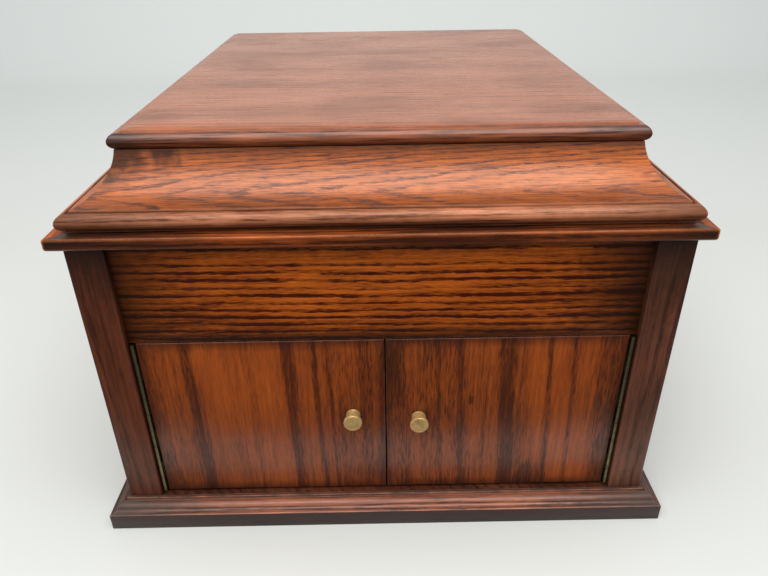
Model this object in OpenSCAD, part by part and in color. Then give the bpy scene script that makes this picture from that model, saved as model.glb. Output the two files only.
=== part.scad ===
// Tabletop gramophone with an oak case, a lidded turntable well, two horn doors,
// a spring motor under the motor board and a swinging tonearm.
// Millimetres. The origin is the centre of the case's underside. +Z is up and the doors face -Y.

/* [Case] */
// Width of the case over its side panels
body_w = 410; // [380:1:460]
// Depth of the case from the stiles' front to the back panel
body_d = 490; // [470:1:540]
// Height of the case from the table to the underside of the cornice
body_h = 243.5; // [235:0.5:280]
// Thickness of the side and back panels
panel_t = 12; // [10:0.5:14]
// Width of the front stiles
stile_w = 25.4; // [20:0.2:30]
// Thickness of the front stiles
stile_t = 20; // [18:0.5:26]
// Depth by which the fascia and the doors stand back from the stiles
front_recess = 5; // [3:0.5:7]
// Thickness of the fascia panel
fascia_t = 16; // [12:0.5:18]
// Thickness of the base board
base_t = 13; // [8:0.5:16]
// Overhang of the plinth moulding
plinth_out = 14; // [11:0.5:18]
// Height of the plinth's flat face
plinth_face_h = 14; // [10:0.5:15]
// Full height of the plinth moulding
plinth_h = 22; // [20.5:0.5:26]
// Overhang of the cornice at the front and the sides
cornice_out = 8; // [6:0.5:12]
// Thickness of the cornice
cornice_t = 8.5; // [7:0.5:12]
// Hairline left open at each mitre
mitre_gap = 0.05; // [0.02:0.01:0.15]

/* [Doors] */
// Height of the fascia panel over the doors
fascia_h = 78.1; // [76.1:0.5:86.1]
// Thickness of the doors
door_t = 15.7; // [12:0.1:18]
// Offset of the doors' meeting line from the middle of the case
meeting_x = 1.3; // [-2:0.1:2]
// Gap between the doors, and above and below them
door_gap = 0.7; // [0.4:0.1:1.2]
// Radius of the piano hinges' barrels
hinge_r = 1.9; // [1.7:0.05:2]
// Radius of the piano hinges' pins
hinge_pin_r = 0.9; // [0.6:0.05:1]
// Thickness of the piano hinges' leaves
leaf_t = 0.7; // [0.5:0.05:0.8]
// Number of knuckles on each piano hinge
knuckle_n = 9; // [5:2:13]
// Distance of each knob from the meeting line
knob_x = 24.8; // [20:0.2:40]
// Height of the knobs above the table
knob_z = 97; // [70:1:120]
// Height by which the right knob sits lower than the left one
right_knob_drop = 3; // [0:0.5:6]
// Radius of the knobs' heads
knob_r = 7; // [6:0.1:9]
// Length of the knobs from the door's face
knob_l = 10.5; // [9:0.5:20]

/* [Lid] */
// Gap between the closed lid and the cornice
lid_gap = 0.3; // [0.2:0.1:0.6]
// Height of the lid's lower moulding
lid_rim_h = 12.7; // [11:0.1:16]
// Overhang of the lid's lower moulding
lid_rim_out = 1.2; // [0.5:0.1:2.5]
// Height of the cove
cove_h = 31.5; // [30:0.5:38]
// Distance by which the cove's foot stands back from the case
cove_foot_in = 6.5; // [5:0.1:8]
// Distance by which the cove's head stands back from the case
cove_head_in = 33.1; // [28:0.1:36]
// Radius of the cove's hollow
cove_r = 38.7; // [34:0.1:60]
// Thickness of the cove's stock, measured inwards from its head
cove_stock = 14; // [10:0.5:18]
// Thickness of the lid's top board
top_t = 11.5; // [10:0.5:16]
// Distance by which the top board's edge stands back from the case
top_in = 30; // [26:0.5:31]
// Thickness of the lid hinges' leaves
lid_leaf_t = 1.2; // [1:0.1:1.6]
// Radius of the lid hinges' barrels
lid_knuckle_r = 2.8; // [2.4:0.1:2.9]
// Radius of the lid hinges' pins
lid_pin_r = 1.3; // [1:0.1:1.5]
// Length of each lid hinge
lid_hinge_l = 60; // [40:1:80]
// Distance of each lid hinge from the middle of the case
lid_hinge_x = 120; // [90:1:150]
// Radius of the circle round the lid's hinge that both of the stay's pins lie on
stay_r = 40; // [36:0.5:42]
// Angle between the stay's two pins, seen from the lid's hinge
stay_angle = 30; // [28:1:34]
// Largest opening angle of the lid
lid_open = 75; // [60:1:76]

/* [Motor board and turntable] */
// Depth of the motor board's top below the underside of the cornice
board_drop = 57.5; // [54.5:0.5:59.5]
// Thickness of the motor board
board_t = 12; // [10:0.5:14]
// Radius of the turntable
platter_r = 127; // [110:1:130]
// Height of the turntable's top above the motor board
platter_h = 20; // [18:0.5:22]
// Height of the turntable's rim
rim_h = 14; // [10:0.5:15]
// Thickness of the turntable's sheet
platter_t = 2.5; // [1.5:0.1:3]
// Thickness of the turntable's felt
felt_t = 2; // [1:0.1:3]
// Radius of the record seat on the spindle
record_pin_r = 3.6; // [3.5:0.01:3.7]
// Length of the record seat above the felt
record_pin_l = 14; // [10:0.5:16]
// Place of the spindle across the case
spindle_x = -30; // [-34:1:-26]
// Distance from the doors' face back to the spindle
spindle_back = 180; // [176:1:184]
// Radius of the needle cups' bowls
cup_r = 20; // [16:0.5:22]
// Depth of the needle cups
cup_depth = 14; // [10:0.5:16]

/* [Tonearm] */
// Distance from the spindle to the tonearm's pivot, across the case
arm_side = 135; // [132:1:138]
// Distance from the spindle to the tonearm's pivot, along the case
arm_back = 180; // [176:1:186]
// Height of the tonearm's axis above the turntable's felt
arm_h = 40; // [39:0.5:41]
// Distance from the tonearm's pivot to its joint with the gooseneck
arm_l = 192; // [188:1:196]
// Outer radius of the tonearm at its pivot
arm_r1 = 13; // [11:0.5:14]
// Outer radius of the tonearm at its end
arm_r2 = 9; // [8.6:0.1:10]
// Outer radius of the gooseneck tube
goose_r = 7; // [6:0.1:7.4]
// Radius of the gooseneck's bend
goose_bend = 14; // [12:0.5:16]
// Radius of the soundbox
box_r = 27; // [24:0.5:28]
// Thickness of the soundbox
box_t = 11; // [9:0.5:12]
// Distance from the soundbox's centre to the needle's tip
needle_reach = 37; // [35.5:0.5:38.5]

/* [Spring motor] */
// Height of the space between the motor's plates
frame_h = 57; // [56:0.5:60]
// Thickness of the motor's plates
plate_t = 3; // [2:0.5:4]
// Thickness of the rubber cushions between the bedplate and the motor board
cushion_t = 3; // [2:0.5:5]
// Module of the running gears
gear_m = 1; // [0.9:0.05:1.05]
// Teeth on the barrel's gear
barrel_teeth = 90; // [84:1:92]
// Teeth on the intermediate gear
middle_teeth = 60; // [54:1:62]
// Teeth on both pinions
pinion_teeth = 15; // [13:1:16]
// Module of the winding gears
wind_m = 1.25; // [1.2:0.05:1.3]
// Teeth on the winding wheel
wind_teeth = 40; // [36:1:42]
// Teeth on the winding pinion
wind_pinion_teeth = 10; // [9:1:11]
// Height of the spring barrel
barrel_h = 27; // [22:0.5:28]
// Teeth on the worm wheel
worm_teeth = 40; // [34:2:44]
// Length of the governor's shaft
governor_l = 92; // [84:1:96]
// Radius of the circle that the governor's weights lie on
weight_reach = 9; // [8:0.5:10]
// Radius of the governor's friction disc
disc_r = 13; // [10:0.5:14]

/* [Winding crank] */
// Radius of the winding shaft
crank_shaft_r = 5; // [4:0.5:5.5]
// Distance from the case's side to the crank's arm
crank_out = 22; // [18:1:30]
// Length of the crank's arm
crank_l = 110; // [90:1:125]
// Length of the wooden grip
grip_l = 66; // [55:1:75]
// Largest radius of the wooden grip
grip_r = 11; // [9:0.5:13]

/* [Fits] */
// Radial clearance of shafts in their bearings
run_fit = 0.05; // [0.02:0.01:0.09]
// Clearance of parts that move past each other
air = 0.3; // [0.3:0.05:0.5]

/* [Hidden] */

half_w = body_w / 2;
half_d = body_d / 2;
in_x = half_w - panel_t;
in_back = half_d - panel_t;
stile_in = half_w - stile_w;
face_y = -half_d + front_recess;
fascia_back = face_y + fascia_t;
base_top = plinth_h - 1;
base_z = base_top - base_t;
door_h = body_h - plinth_h - 2 * door_gap - fascia_h;
door_z = plinth_h + door_gap;
door_top = door_z + door_h;
fascia_z = door_top + door_gap;
cornice_top = body_h + cornice_t;
lid_z = cornice_top + lid_gap;
rim_top = lid_z + lid_rim_h;
cove_top = rim_top + cove_h;
lid_top = cove_top + top_t;
rim_in = 18;
bearer_x = 150;
bearer_w = 40;
stop_depth = 12;

hinge_x = stile_in - hinge_r - 0.25;
hinge_y = face_y - 0.5;
door_edge = 2 * hinge_x - stile_in;
leaf_y = hinge_y + hinge_r + air;
leaf_back = face_y + door_t - 1;
knuckle_l = door_h / knuckle_n;
knuckle_gap = 0.15;
knob_screw_r = 2;
knob_screw_l = 11;

lid_pin_y = half_d + lid_knuckle_r + air;
lid_pin_z = cornice_top + lid_gap / 2;
lid_leaf_w = 11;
stay_pin_r = 2.5;
stay_end_r = 5;
stay_bar_t = 2.5;
stay_plate_t = 2;
stay_lift = stay_end_r + 1;
stay_tilt = asin((lid_z + stay_lift - lid_pin_z) / stay_r);
stay_face_x = half_w - rim_in - stay_plate_t;
stay_bar_x = stay_face_x - air - stay_bar_t;
stay_top = [lid_pin_y - stay_r * cos(stay_tilt), lid_pin_z + stay_r * sin(stay_tilt)];
stay_low = [
  lid_pin_y - stay_r * cos(stay_angle - stay_tilt),
  lid_pin_z - stay_r * sin(stay_angle - stay_tilt)
];
stay_near = 2 * stay_r * sin(stay_angle / 2);
stay_far = 2 * stay_r * sin((stay_angle + lid_open) / 2);
stay_lean = atan2(stay_low[1] - stay_top[1], stay_low[0] - stay_top[0]);

board_z = body_h - board_drop;
board_under = board_z - board_t;
spindle_y = face_y + spindle_back;
batten_t = 14;
felt_z = board_z + platter_h;
felt_top = felt_z + felt_t;
rim_z = felt_z - rim_h;
board_hole_r = 12;
spindle_r = 5;
collar_r = 8;
spindle_top = felt_top + record_pin_l;
cup_x = in_x - 38;
cup_y = face_y + 55;
cup_wall = 1.2;
screw_r = 2;
small_screw_r = 1.5;
plate_screw_r = 1.2;

arm_x = spindle_x + arm_side;
arm_y = spindle_y + arm_back;
bracket_screws = [for (a = [30, 150, 270]) [arm_x + 26 * cos(a), arm_y + 26 * sin(a)]];
arm_z = felt_top + arm_h;
arm_sleeve_r = 16;
bracket_r = 20;
bracket_h = 36;
joint_y = arm_y - arm_l;
goose_in = 20;
bend_y = joint_y - 20;
box_y = bend_y - goose_bend;
box_x = arm_x + goose_bend + 9;
box_back_t = 3;
box_front = box_x + box_back_t + box_t;
goose_wall = 2;
tip_z = arm_z - needle_reach;
mica_t = 0.5;
mica_x = box_x + box_back_t + 3;
ring_in = box_r - 3;
chuck_r = 2.4;
chuck_z = arm_z - box_r - 4.5;
chuck_x = mica_x + 5.5;

bedplate_top = board_under - cushion_t;
motor_top = bedplate_top - plate_t;
motor_low = motor_top - frame_h;
bottom_z = motor_low - plate_t;
arbor_r = 3;
middle_dist = gear_m * (middle_teeth + pinion_teeth) / 2;
barrel_dist = gear_m * (barrel_teeth + pinion_teeth) / 2;
middle_angle = 60;
middle_x = spindle_x + middle_dist * cos(middle_angle);
middle_y = spindle_y + middle_dist * sin(middle_angle);
barrel_x = middle_x + barrel_dist;
barrel_y = middle_y;
middle_z = motor_low + 1.5;
gear_t = 3;
barrel_z = motor_low + 8;
barrel_gear_t = 3.5;
barrel_r = gear_m * barrel_teeth / 2 - 3;
barrel_wall = 2;
wheel_z = barrel_z + barrel_h + 1.5;
wheel_t = 2.5;
tooth_up = 0.85;
tooth_down = 1.05;
wind_r = wind_m * wind_teeth / 2;
wind_pinion_r = wind_m * wind_pinion_teeth / 2;
crank_z = wheel_z + wheel_t + air + wind_pinion_r + wind_m * tooth_up;
worm_r = 4;
worm_z = motor_low + 39;
worm_wheel_r = gear_m * worm_teeth / 2;
governor_x = spindle_x - worm_wheel_r - gear_m * tooth_up - worm_r - air;
governor_back = spindle_y + 20;
governor_front = governor_back - governor_l;
governor_r = 2;
disc_y = governor_front + 10;
crank_y = barrel_y;
plate_screws = [for (a = [45, 135, 225, 315]) [crank_y + 13.5 * cos(a), crank_z + 13.5 * sin(a)]];
arm_face = half_w + crank_out;
crank_arm_t = 6;
grip_x = arm_face + crank_arm_t + air;
grip_z = crank_z - crank_l;
lever_x = governor_x - 29;
lever_y = disc_y - 6;
lever_z = worm_z - 1;
speed_x = spindle_x - 62;
speed_y = face_y + 50;
brake_x = spindle_x + platter_r + 15;
brake_y = spindle_y - 35;
brake_z = rim_z + 2;
brake_t = 3;
brake_pin_r = 3;
pillars = [
  [spindle_x + 20, spindle_y - 30],
  [middle_x - 37, middle_y + 40],
  [barrel_x + 51, barrel_y - 50],
  [barrel_x + 51, barrel_y + 50]
];
pillar_r = 4;
cushions = [
  [governor_x - 12, spindle_y + 22],
  [barrel_x + 38, barrel_y - 38],
  [barrel_x + 20, barrel_y + 56]
];
cushion_r = 8;

oak = "#7a3c1d";
oak_dark = "#4a2618";
deal = "#b08050";
brass = "#b49a5a";
nickel = "#b9bab6";
iron = "#3c3a38";
steel = "#8b8d90";

function arc(c, r, a0, a1, n) = [
  for (i = [0:n]) let (a = a0 + (a1 - a0) * i / n) [c[0] + r[0] * cos(a), c[1] + r[1] * sin(a)]
];

// Outline of a spur gear with straight-sided teeth, one tooth centred on +X turned by phase
function gear_points(m, n, phase = 0) =
  let (root = m * n / 2 - m * tooth_down, tip = m * n / 2 + m * tooth_up, step = 360 / n)
  [for (i = [0:n - 1], k = [[root, -0.25], [tip, -0.09], [tip, 0.09], [root, 0.25]])
    let (a = phase + (i + k[1]) * step) [k[0] * cos(a), k[0] * sin(a)]];

// One straight rail of a mitred frame, on the -Y side of a case that is w wide and d deep
module rail(w, d, profile, inner, outer, gap) {
  intersection() {
    rotate([90, 0, 90])
      linear_extrude(height = w + 4 * outer + 1, center = true)
        polygon([for (p = profile) [-d / 2 - p[0], p[1]]]);
    linear_extrude(height = 2 * lid_top)
      polygon([
        [-w / 2 - outer + gap, -d / 2 - outer],
        [w / 2 + outer - gap, -d / 2 - outer],
        [w / 2 - inner - gap, -d / 2 + inner],
        [-w / 2 + inner + gap, -d / 2 + inner]
      ]);
  }
}

// Four rails that follow one profile round a rectangle that is w wide and d deep
module mitred_frame(w, d, profile, inner, outer, gap) {
  rail(w, d, profile, inner, outer, gap);
  rotate([0, 0, 90]) rail(d, w, profile, inner, outer, gap);
  rotate([0, 0, 180]) rail(w, d, profile, inner, outer, gap);
  rotate([0, 0, 270]) rail(d, w, profile, inner, outer, gap);
}

// Block between two corners
module block(low, high) {
  translate(low) cube([high[0] - low[0], high[1] - low[1], high[2] - low[2]]);
}

// Upright cylinder between two heights
module post(x, y, z0, z1, r) {
  translate([x, y, z0]) cylinder(h = z1 - z0, r = r, $fn = 64);
}

// Cylinder along Y between two places
module rod_y(x, z, y0, y1, r) {
  translate([x, y1, z]) rotate([90, 0, 0]) cylinder(h = y1 - y0, r = r, $fn = 64);
}

// Cylinder along X between two places
module rod_x(y, z, x0, x1, r) {
  translate([x0, y, z]) rotate([0, 90, 0]) cylinder(h = x1 - x0, r = r, $fn = 64);
}

module plinth_moulding() {
  fillet = 2.6;
  quirk = 1;
  roll_h = plinth_h - 1.7 - plinth_face_h - 2.6;
  hollow_foot = [plinth_out - 0.9, plinth_face_h + 0.5];
  roll_w = plinth_out * 0.4;
  roll_foot = [fillet + quirk + roll_w, plinth_face_h + 2.6];
  color(oak_dark) mitred_frame(body_w, body_d, concat(
    [[0, 0], [plinth_out, 0], [plinth_out, plinth_face_h]],
    arc([hollow_foot[0], roll_foot[1]], [hollow_foot[0] - roll_foot[0], 2.1], 270, 180, 6),
    arc([fillet + quirk, roll_foot[1]], [roll_w, roll_h], 8, 90, 8),
    [[fillet + quirk / 2, plinth_h - 2.5], [fillet, plinth_h - 2.5], [fillet, plinth_h], [0, plinth_h]]
  ), 0, plinth_out, mitre_gap);
}

// Base board on three bearers that end level with the plinth's foot
module base_board() {
  color(deal) {
    block([-in_x, -half_d + stile_t, base_z], [in_x, in_back, base_top]);
    block([-stile_in, -half_d, base_z], [stile_in, -half_d + stile_t, base_top]);
    for (x = [-bearer_x, 0, bearer_x])
      block([x - bearer_w / 2, -half_d + stile_t, 0], [x + bearer_w / 2, in_back, base_z + 0.5]);
  }
}

module side_left() {
  color(oak) block([-half_w, -half_d + stile_t, 0], [-in_x, half_d, body_h]);
}

// The right side panel has a hole for the winding shaft
module side_right() {
  color(oak) difference() {
    block([in_x, -half_d + stile_t, 0], [half_w, half_d, body_h]);
    rod_x(crank_y, crank_z, in_x - 1, half_w + 1, crank_shaft_r + 3);
  }
}

module back_panel() {
  color(oak) block([-in_x, in_back, 0], [in_x, half_d, body_h]);
}

module front_stiles() {
  color(oak_dark) for (s = [-1, 1]) {
    translate([s * (stile_in + stile_w / 2), -half_d + stile_t / 2, body_h / 2])
      cube([stile_w, stile_t, body_h], center = true);
  }
}

module fascia_panel() {
  color(oak) block([-stile_in, face_y, fascia_z], [stile_in, fascia_back, body_h]);
}

// Bearers under the motor board, and the rail that the doors close against
module inner_battens() {
  batten_l = 2 * (in_back - batten_t);
  color(deal) {
    difference() {
      for (s = [-1, 1]) translate([s * (in_x - batten_t / 2), 0, board_under - batten_t / 2])
        cube([batten_t, batten_l, batten_t], center = true);
      rod_x(crank_y, crank_z, in_x - batten_t - 1, in_x + 1, crank_shaft_r + 3);
    }
    block([-in_x, in_back - batten_t, board_under - batten_t], [in_x, in_back, board_under]);
    block([-stile_in, fascia_back, door_top - 6], [stile_in, fascia_back + stop_depth, board_under]);
  }
}

module cornice_frame() {
  corner = 2;
  color(oak) difference() {
    mitred_frame(body_w, body_d, concat(
      [[-panel_t, body_h]],
      arc([cornice_out - corner, body_h + corner], [corner, corner], 270, 360, 5),
      arc([cornice_out - corner, cornice_top - corner], [corner, corner], 0, 90, 5),
      [[-panel_t, cornice_top]]
    ), panel_t, cornice_out, mitre_gap);
    block([-body_w, half_d, body_h - 1], [body_w, body_d, lid_top]);
    for (s = [-1, 1]) translate([s * lid_hinge_x, 0, 0])
      block([-lid_hinge_l / 2, half_d - lid_leaf_w, cornice_top - lid_leaf_t],
        [lid_hinge_l / 2, body_d, lid_top]);
  }
}

module motor_board() {
  color(oak) difference() {
    block([-in_x + air, fascia_back + air, board_under], [in_x - air, in_back - air, board_z]);
    post(spindle_x, spindle_y, board_under - 1, board_z + 1, board_hole_r);
    post(arm_x, arm_y, board_under - 1, board_z + 1, bracket_r - 4);
    post(speed_x, speed_y, board_under - 1, board_z + 1, arbor_r + 1);
    for (s = [-1, 1]) post(s * cup_x, cup_y, board_under - 1, board_z + 1, cup_r + air);
    for (p = cushions) post(p[0], p[1], board_under - 1, board_z + 1, screw_r + run_fit);
    for (p = bracket_screws) post(p[0], p[1], board_under - 1, board_z + 1, small_screw_r + run_fit);
  }
}

// Wooden horn: flat boards that widen from the throat to the mouth behind the doors
module horn() {
  wall = 4;
  mouth_y = fascia_back + stop_depth + 1;
  rear_y = arm_y - 28;
  mouth_top = door_top - 7;
  low_top = bottom_z - 6;
  rear_top = base_top + 54;
  side = [[mouth_y, mouth_top], [mouth_y + 28, mouth_top - 28], [mouth_y + 60, low_top + 8],
    [mouth_y + 100, low_top], [rear_y, rear_top]];
  left = [[-stile_in + 8, mouth_y], [-stile_in + 18, mouth_y + 28], [-110, mouth_y + 80],
    [-60, mouth_y + 130], [5, mouth_y + 200], [arm_x - 26, rear_y]];
  right = [
    [arm_x + 26, rear_y], [150, mouth_y + 120],
    [stile_in - 14, mouth_y + 40], [stile_in - 8, mouth_y]
  ];
  color(deal) difference() {
    intersection() {
      rotate([90, 0, 90]) linear_extrude(height = body_w, center = true)
        polygon(concat([[rear_y, base_top], [mouth_y, base_top]], side));
      linear_extrude(height = body_h) polygon(concat(left, right));
    }
    intersection() {
      rotate([90, 0, 90]) linear_extrude(height = body_w, center = true)
        polygon(concat(
          [[rear_y + 1, base_top + wall], [mouth_y - 1, base_top + wall], [mouth_y - 1, mouth_top - wall]],
          [for (i = [1:4]) [side[i][0] + (i == 4 ? 1 : 0), side[i][1] - wall]]));
      linear_extrude(height = body_h) polygon(concat(
        [[left[0][0] + wall, mouth_y - 1]],
        [for (i = [1:4]) [left[i][0] + wall * 1.3, left[i][1]]],
        [[left[5][0] + wall, rear_y + 1], [right[0][0] - wall, rear_y + 1]],
        [for (i = [1:2]) [right[i][0] - wall, right[i][1]]],
        [[right[3][0] - wall, mouth_y - 1]]));
    }
  }
}

// Cast elbow that joins the tonearm's bracket to the horn's small end
module horn_elbow() {
  outer = 19;
  bore = 15;
  low_z = base_top + 27;
  horn_y = arm_y - 28;
  color(iron) difference() {
    union() {
      post(arm_x, arm_y, low_z, board_under, outer);
      post(arm_x, arm_y, board_under - 4, board_under, 30);
      rod_y(arm_x, low_z, horn_y, arm_y, outer);
      translate([arm_x, arm_y, low_z]) sphere(r = outer, $fn = 64);
      block([arm_x - 26, horn_y, base_top + 1], [arm_x + 26, horn_y + 4, base_top + 53]);
    }
    post(arm_x, arm_y, low_z, board_under + 1, bore);
    rod_y(arm_x, low_z, horn_y - 1, arm_y, bore);
    translate([arm_x, arm_y, low_z]) sphere(r = bore, $fn = 64);
  }
}

// Bracket on the motor board with the bearing that the tonearm turns in
module tonearm_bracket() {
  color(nickel) difference() {
    union() {
      post(arm_x, arm_y, board_z, board_z + 4, 32);
      post(arm_x, arm_y, board_z + 4, board_z + bracket_h, bracket_r);
      post(arm_x, arm_y, board_z + bracket_h - 5, board_z + bracket_h, bracket_r + 2);
    }
    post(arm_x, arm_y, board_z - 1, board_z + bracket_h + 1, arm_sleeve_r + run_fit);
    for (p = bracket_screws) post(p[0], p[1], board_z - 1, board_z + 5, small_screw_r + run_fit);
  }
}

// Post that holds the tonearm when it isn't playing, open on the turntable's side
module arm_rest() {
  rest_y = joint_y + 44;
  saddle_r = arm_r2 + (arm_r1 - arm_r2) * (rest_y - joint_y) / arm_l + air;
  color(nickel) {
    post(arm_x, rest_y, board_z, board_z + 3, 10);
    post(arm_x, rest_y, board_z + 1, arm_z - saddle_r - 1, 4);
    block(
      [arm_x - 9, rest_y - 4, arm_z - saddle_r - 3],
      [arm_x + saddle_r + 3, rest_y + 4, arm_z - saddle_r]
    );
    block(
      [arm_x + saddle_r + 0.4, rest_y - 4, arm_z - saddle_r - 2],
      [arm_x + saddle_r + 3, rest_y + 4, arm_z - 1]
    );
  }
}

module needle_cups() {
  color(nickel) for (s = [-1, 1]) translate([s * cup_x, cup_y, 0]) rotate_extrude($fn = 64)
    polygon([
      [0, board_z - cup_depth], [cup_r - 6, board_z - cup_depth], [cup_r, board_z - cup_depth + 5],
      [cup_r, board_z], [cup_r + 4, board_z], [cup_r + 4, board_z + cup_wall],
      [cup_r - cup_wall, board_z + cup_wall], [cup_r - cup_wall, board_z - cup_depth + 6],
      [cup_r - 7, board_z - cup_depth + cup_wall], [0, board_z - cup_depth + cup_wall]
    ]);
}

module speed_dial() {
  color(brass) difference() {
    post(speed_x, speed_y, board_z, board_z + 1, 19);
    post(speed_x, speed_y, board_z - 1, board_z + 2, arbor_r + 1);
  }
}

module winding_escutcheon() {
  color(brass) difference() {
    union() {
      rod_x(crank_y, crank_z, half_w, half_w + 2, 17);
      rod_x(crank_y, crank_z, half_w + 2, half_w + 6, crank_shaft_r + 4);
    }
    rod_x(crank_y, crank_z, half_w - 1, half_w + 7, crank_shaft_r + run_fit);
    for (p = plate_screws) rod_x(p[0], p[1], half_w - 1, half_w + 7, plate_screw_r + run_fit);
  }
}

// One leaf of a piano hinge on the left door, with the knuckles from first in steps of two
module door_leaf(side, first) {
  plate_x = side < 0 ? -stile_in : -door_edge - leaf_t;
  difference() {
    union() {
      block([plate_x, leaf_y, door_z], [plate_x + leaf_t, leaf_back, door_top]);
      for (i = [first:2:knuckle_n - 1]) {
        let (z = door_z + i * knuckle_l + knuckle_gap)
          post(-hinge_x, hinge_y, z, z + knuckle_l - 2 * knuckle_gap, hinge_r);
        block([plate_x, hinge_y, door_z + i * knuckle_l + knuckle_gap],
          [plate_x + leaf_t, leaf_y, door_z + (i + 1) * knuckle_l - knuckle_gap]);
      }
    }
    post(-hinge_x, hinge_y, door_z - 1, door_top + 1, hinge_pin_r + run_fit);
  }
}

// One leaf of the lid's two butt hinges, with the knuckles from first in steps of two
module lid_leaf(z, first) {
  pitch = lid_hinge_l / 5;
  for (s = [-1, 1]) translate([s * lid_hinge_x - lid_hinge_l / 2, 0, 0]) difference() {
    union() {
      block([0, half_d - lid_leaf_w, z], [lid_hinge_l, half_d, z + lid_leaf_t]);
      for (i = [first:2:4]) {
        rod_x(lid_pin_y, lid_pin_z, i * pitch + knuckle_gap, (i + 1) * pitch - knuckle_gap, lid_knuckle_r);
        block(
          [i * pitch + knuckle_gap, half_d, z],
          [(i + 1) * pitch - knuckle_gap, lid_pin_y, z + lid_leaf_t]
        );
      }
    }
    rod_x(lid_pin_y, lid_pin_z, -1, lid_hinge_l + 1, lid_pin_r + run_fit);
  }
}

module hinge_fixed_leaves() {
  color(brass) {
    door_leaf(-1, 0);
    mirror([1, 0, 0]) door_leaf(-1, 0);
    lid_leaf(cornice_top - lid_leaf_t, 0);
  }
}

module hinge_pins() {
  color(brass) {
    for (s = [-1, 1]) {
      post(s * hinge_x, hinge_y, door_z, door_top, hinge_pin_r);
      let (x = s * lid_hinge_x)
        rod_x(lid_pin_y, lid_pin_z, x - lid_hinge_l / 2, x + lid_hinge_l / 2, lid_pin_r);
    }
  }
}

module lid_stay_bracket() {
  color(brass) {
    rod_x(stay_low[0], stay_low[1], in_x - stay_plate_t, in_x, 9);
    rod_x(stay_low[0], stay_low[1], stay_bar_x - 1.2, in_x - stay_plate_t, stay_pin_r);
    rod_x(stay_low[0], stay_low[1], stay_bar_x - 2.4, stay_bar_x - air, stay_pin_r + 1.8);
  }
}

// Screws of the motor, the tonearm's bracket and the escutcheon, and the brake's shoulder screw
module case_screws() {
  color(brass) {
    for (p = cushions) {
      post(p[0], p[1], motor_top, board_z, screw_r);
      post(p[0], p[1], board_z, board_z + 1.4, screw_r + 2);
    }
    for (p = bracket_screws) {
      post(p[0], p[1], board_under, board_z + 4, small_screw_r);
      post(p[0], p[1], board_z + 4, board_z + 5.2, 2 * small_screw_r);
    }
    for (p = plate_screws) {
      rod_x(p[0], p[1], half_w, half_w + 2, plate_screw_r);
      rod_x(p[0], p[1], half_w + 2, half_w + 3, plate_screw_r + 1);
    }
    post(brake_x, brake_y, board_z, brake_z + brake_t + 1 + air, brake_pin_r);
    post(brake_x, brake_y, brake_z + brake_t + air, brake_z + brake_t + 1.8 + air, brake_pin_r + 2.5);
  }
}

module bedplate() {
  color(iron) difference() {
    union() {
      translate([0, 0, motor_top]) linear_extrude(height = plate_t) polygon([
        [governor_x - 42, governor_front - 10], [governor_x + 14, governor_front - 10],
        [barrel_x + 62, barrel_y - 62], [barrel_x + 62, barrel_y + 66],
        [middle_x - 45, middle_y + 66], [governor_x - 26, spindle_y + 40], [governor_x - 42, spindle_y]
      ]);
      post(spindle_x, spindle_y, motor_top, motor_top + plate_t + 8, spindle_r + 4);
    }
    post(spindle_x, spindle_y, motor_top - 1, motor_top + plate_t + 9, spindle_r + run_fit);
    post(middle_x, middle_y, motor_top - 1, bedplate_top + 1, arbor_r + run_fit);
    post(barrel_x, barrel_y, motor_top - 1, bedplate_top + 1, spindle_r + run_fit);
    for (p = cushions) post(p[0], p[1], motor_top - 1, bedplate_top + 1, screw_r + run_fit);
  }
}

module bottom_plate() {
  color(iron) difference() {
    translate([0, 0, bottom_z]) linear_extrude(height = plate_t) polygon([
      [spindle_x - 12, spindle_y - 14], [pillars[0][0], pillars[0][1] - 8],
      [pillars[2][0] + 8, pillars[2][1] - 8],
      [pillars[3][0] + 8, pillars[3][1] + 8], [pillars[1][0] - 8, pillars[1][1] + 8],
      [pillars[1][0] - 8, pillars[1][1] - 8]
    ]);
    post(spindle_x, spindle_y, bottom_z - 1, motor_low + 1, spindle_r + run_fit);
    post(middle_x, middle_y, bottom_z - 1, motor_low + 1, arbor_r + run_fit);
    post(barrel_x, barrel_y, bottom_z - 1, motor_low + 1, spindle_r + run_fit);
  }
}

module motor_pillars() {
  color(steel) for (p = pillars) post(p[0], p[1], motor_low, motor_top, pillar_r);
}

module motor_cushions() {
  color("#4a3a30") for (p = cushions) translate([p[0], p[1], 0]) difference() {
    post(0, 0, bedplate_top, board_under, cushion_r);
    post(0, 0, bedplate_top - 1, board_under + 1, screw_r + run_fit);
  }
}

// Bearings of the governor and the winding shaft, and the regulator's post, under the bedplate
module motor_brackets() {
  color(brass) {
    for (y = [governor_front, governor_back - 4]) difference() {
      block([governor_x - 7, y, worm_z - 6], [governor_x + 7, y + 4, motor_top]);
      rod_y(governor_x, worm_z, y - 1, y + 5, governor_r + run_fit);
    }
    difference() {
      block(
        [barrel_x + wind_r + 12, crank_y - 10, crank_z - 9],
        [barrel_x + wind_r + 18, crank_y + 10, motor_top]
      );
      rod_x(crank_y, crank_z, barrel_x, half_w, crank_shaft_r + run_fit);
    }
    post(lever_x, lever_y, lever_z - 2, motor_top, governor_r);
    post(lever_x, lever_y, lever_z - 3.5, lever_z - air, governor_r + 2);
  }
}

// Flat door seen from its hinge on the left, bored for its knob's screw
module door_slab(edge, knob_height) {
  color(oak) difference() {
    block([-door_edge, face_y, door_z], [edge, face_y + door_t, door_top]);
    rod_y(
      edge + door_gap / 2 - knob_x, knob_height,
      face_y - 1, face_y + knob_screw_l + 1, knob_screw_r + run_fit
    );
  }
}

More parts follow.
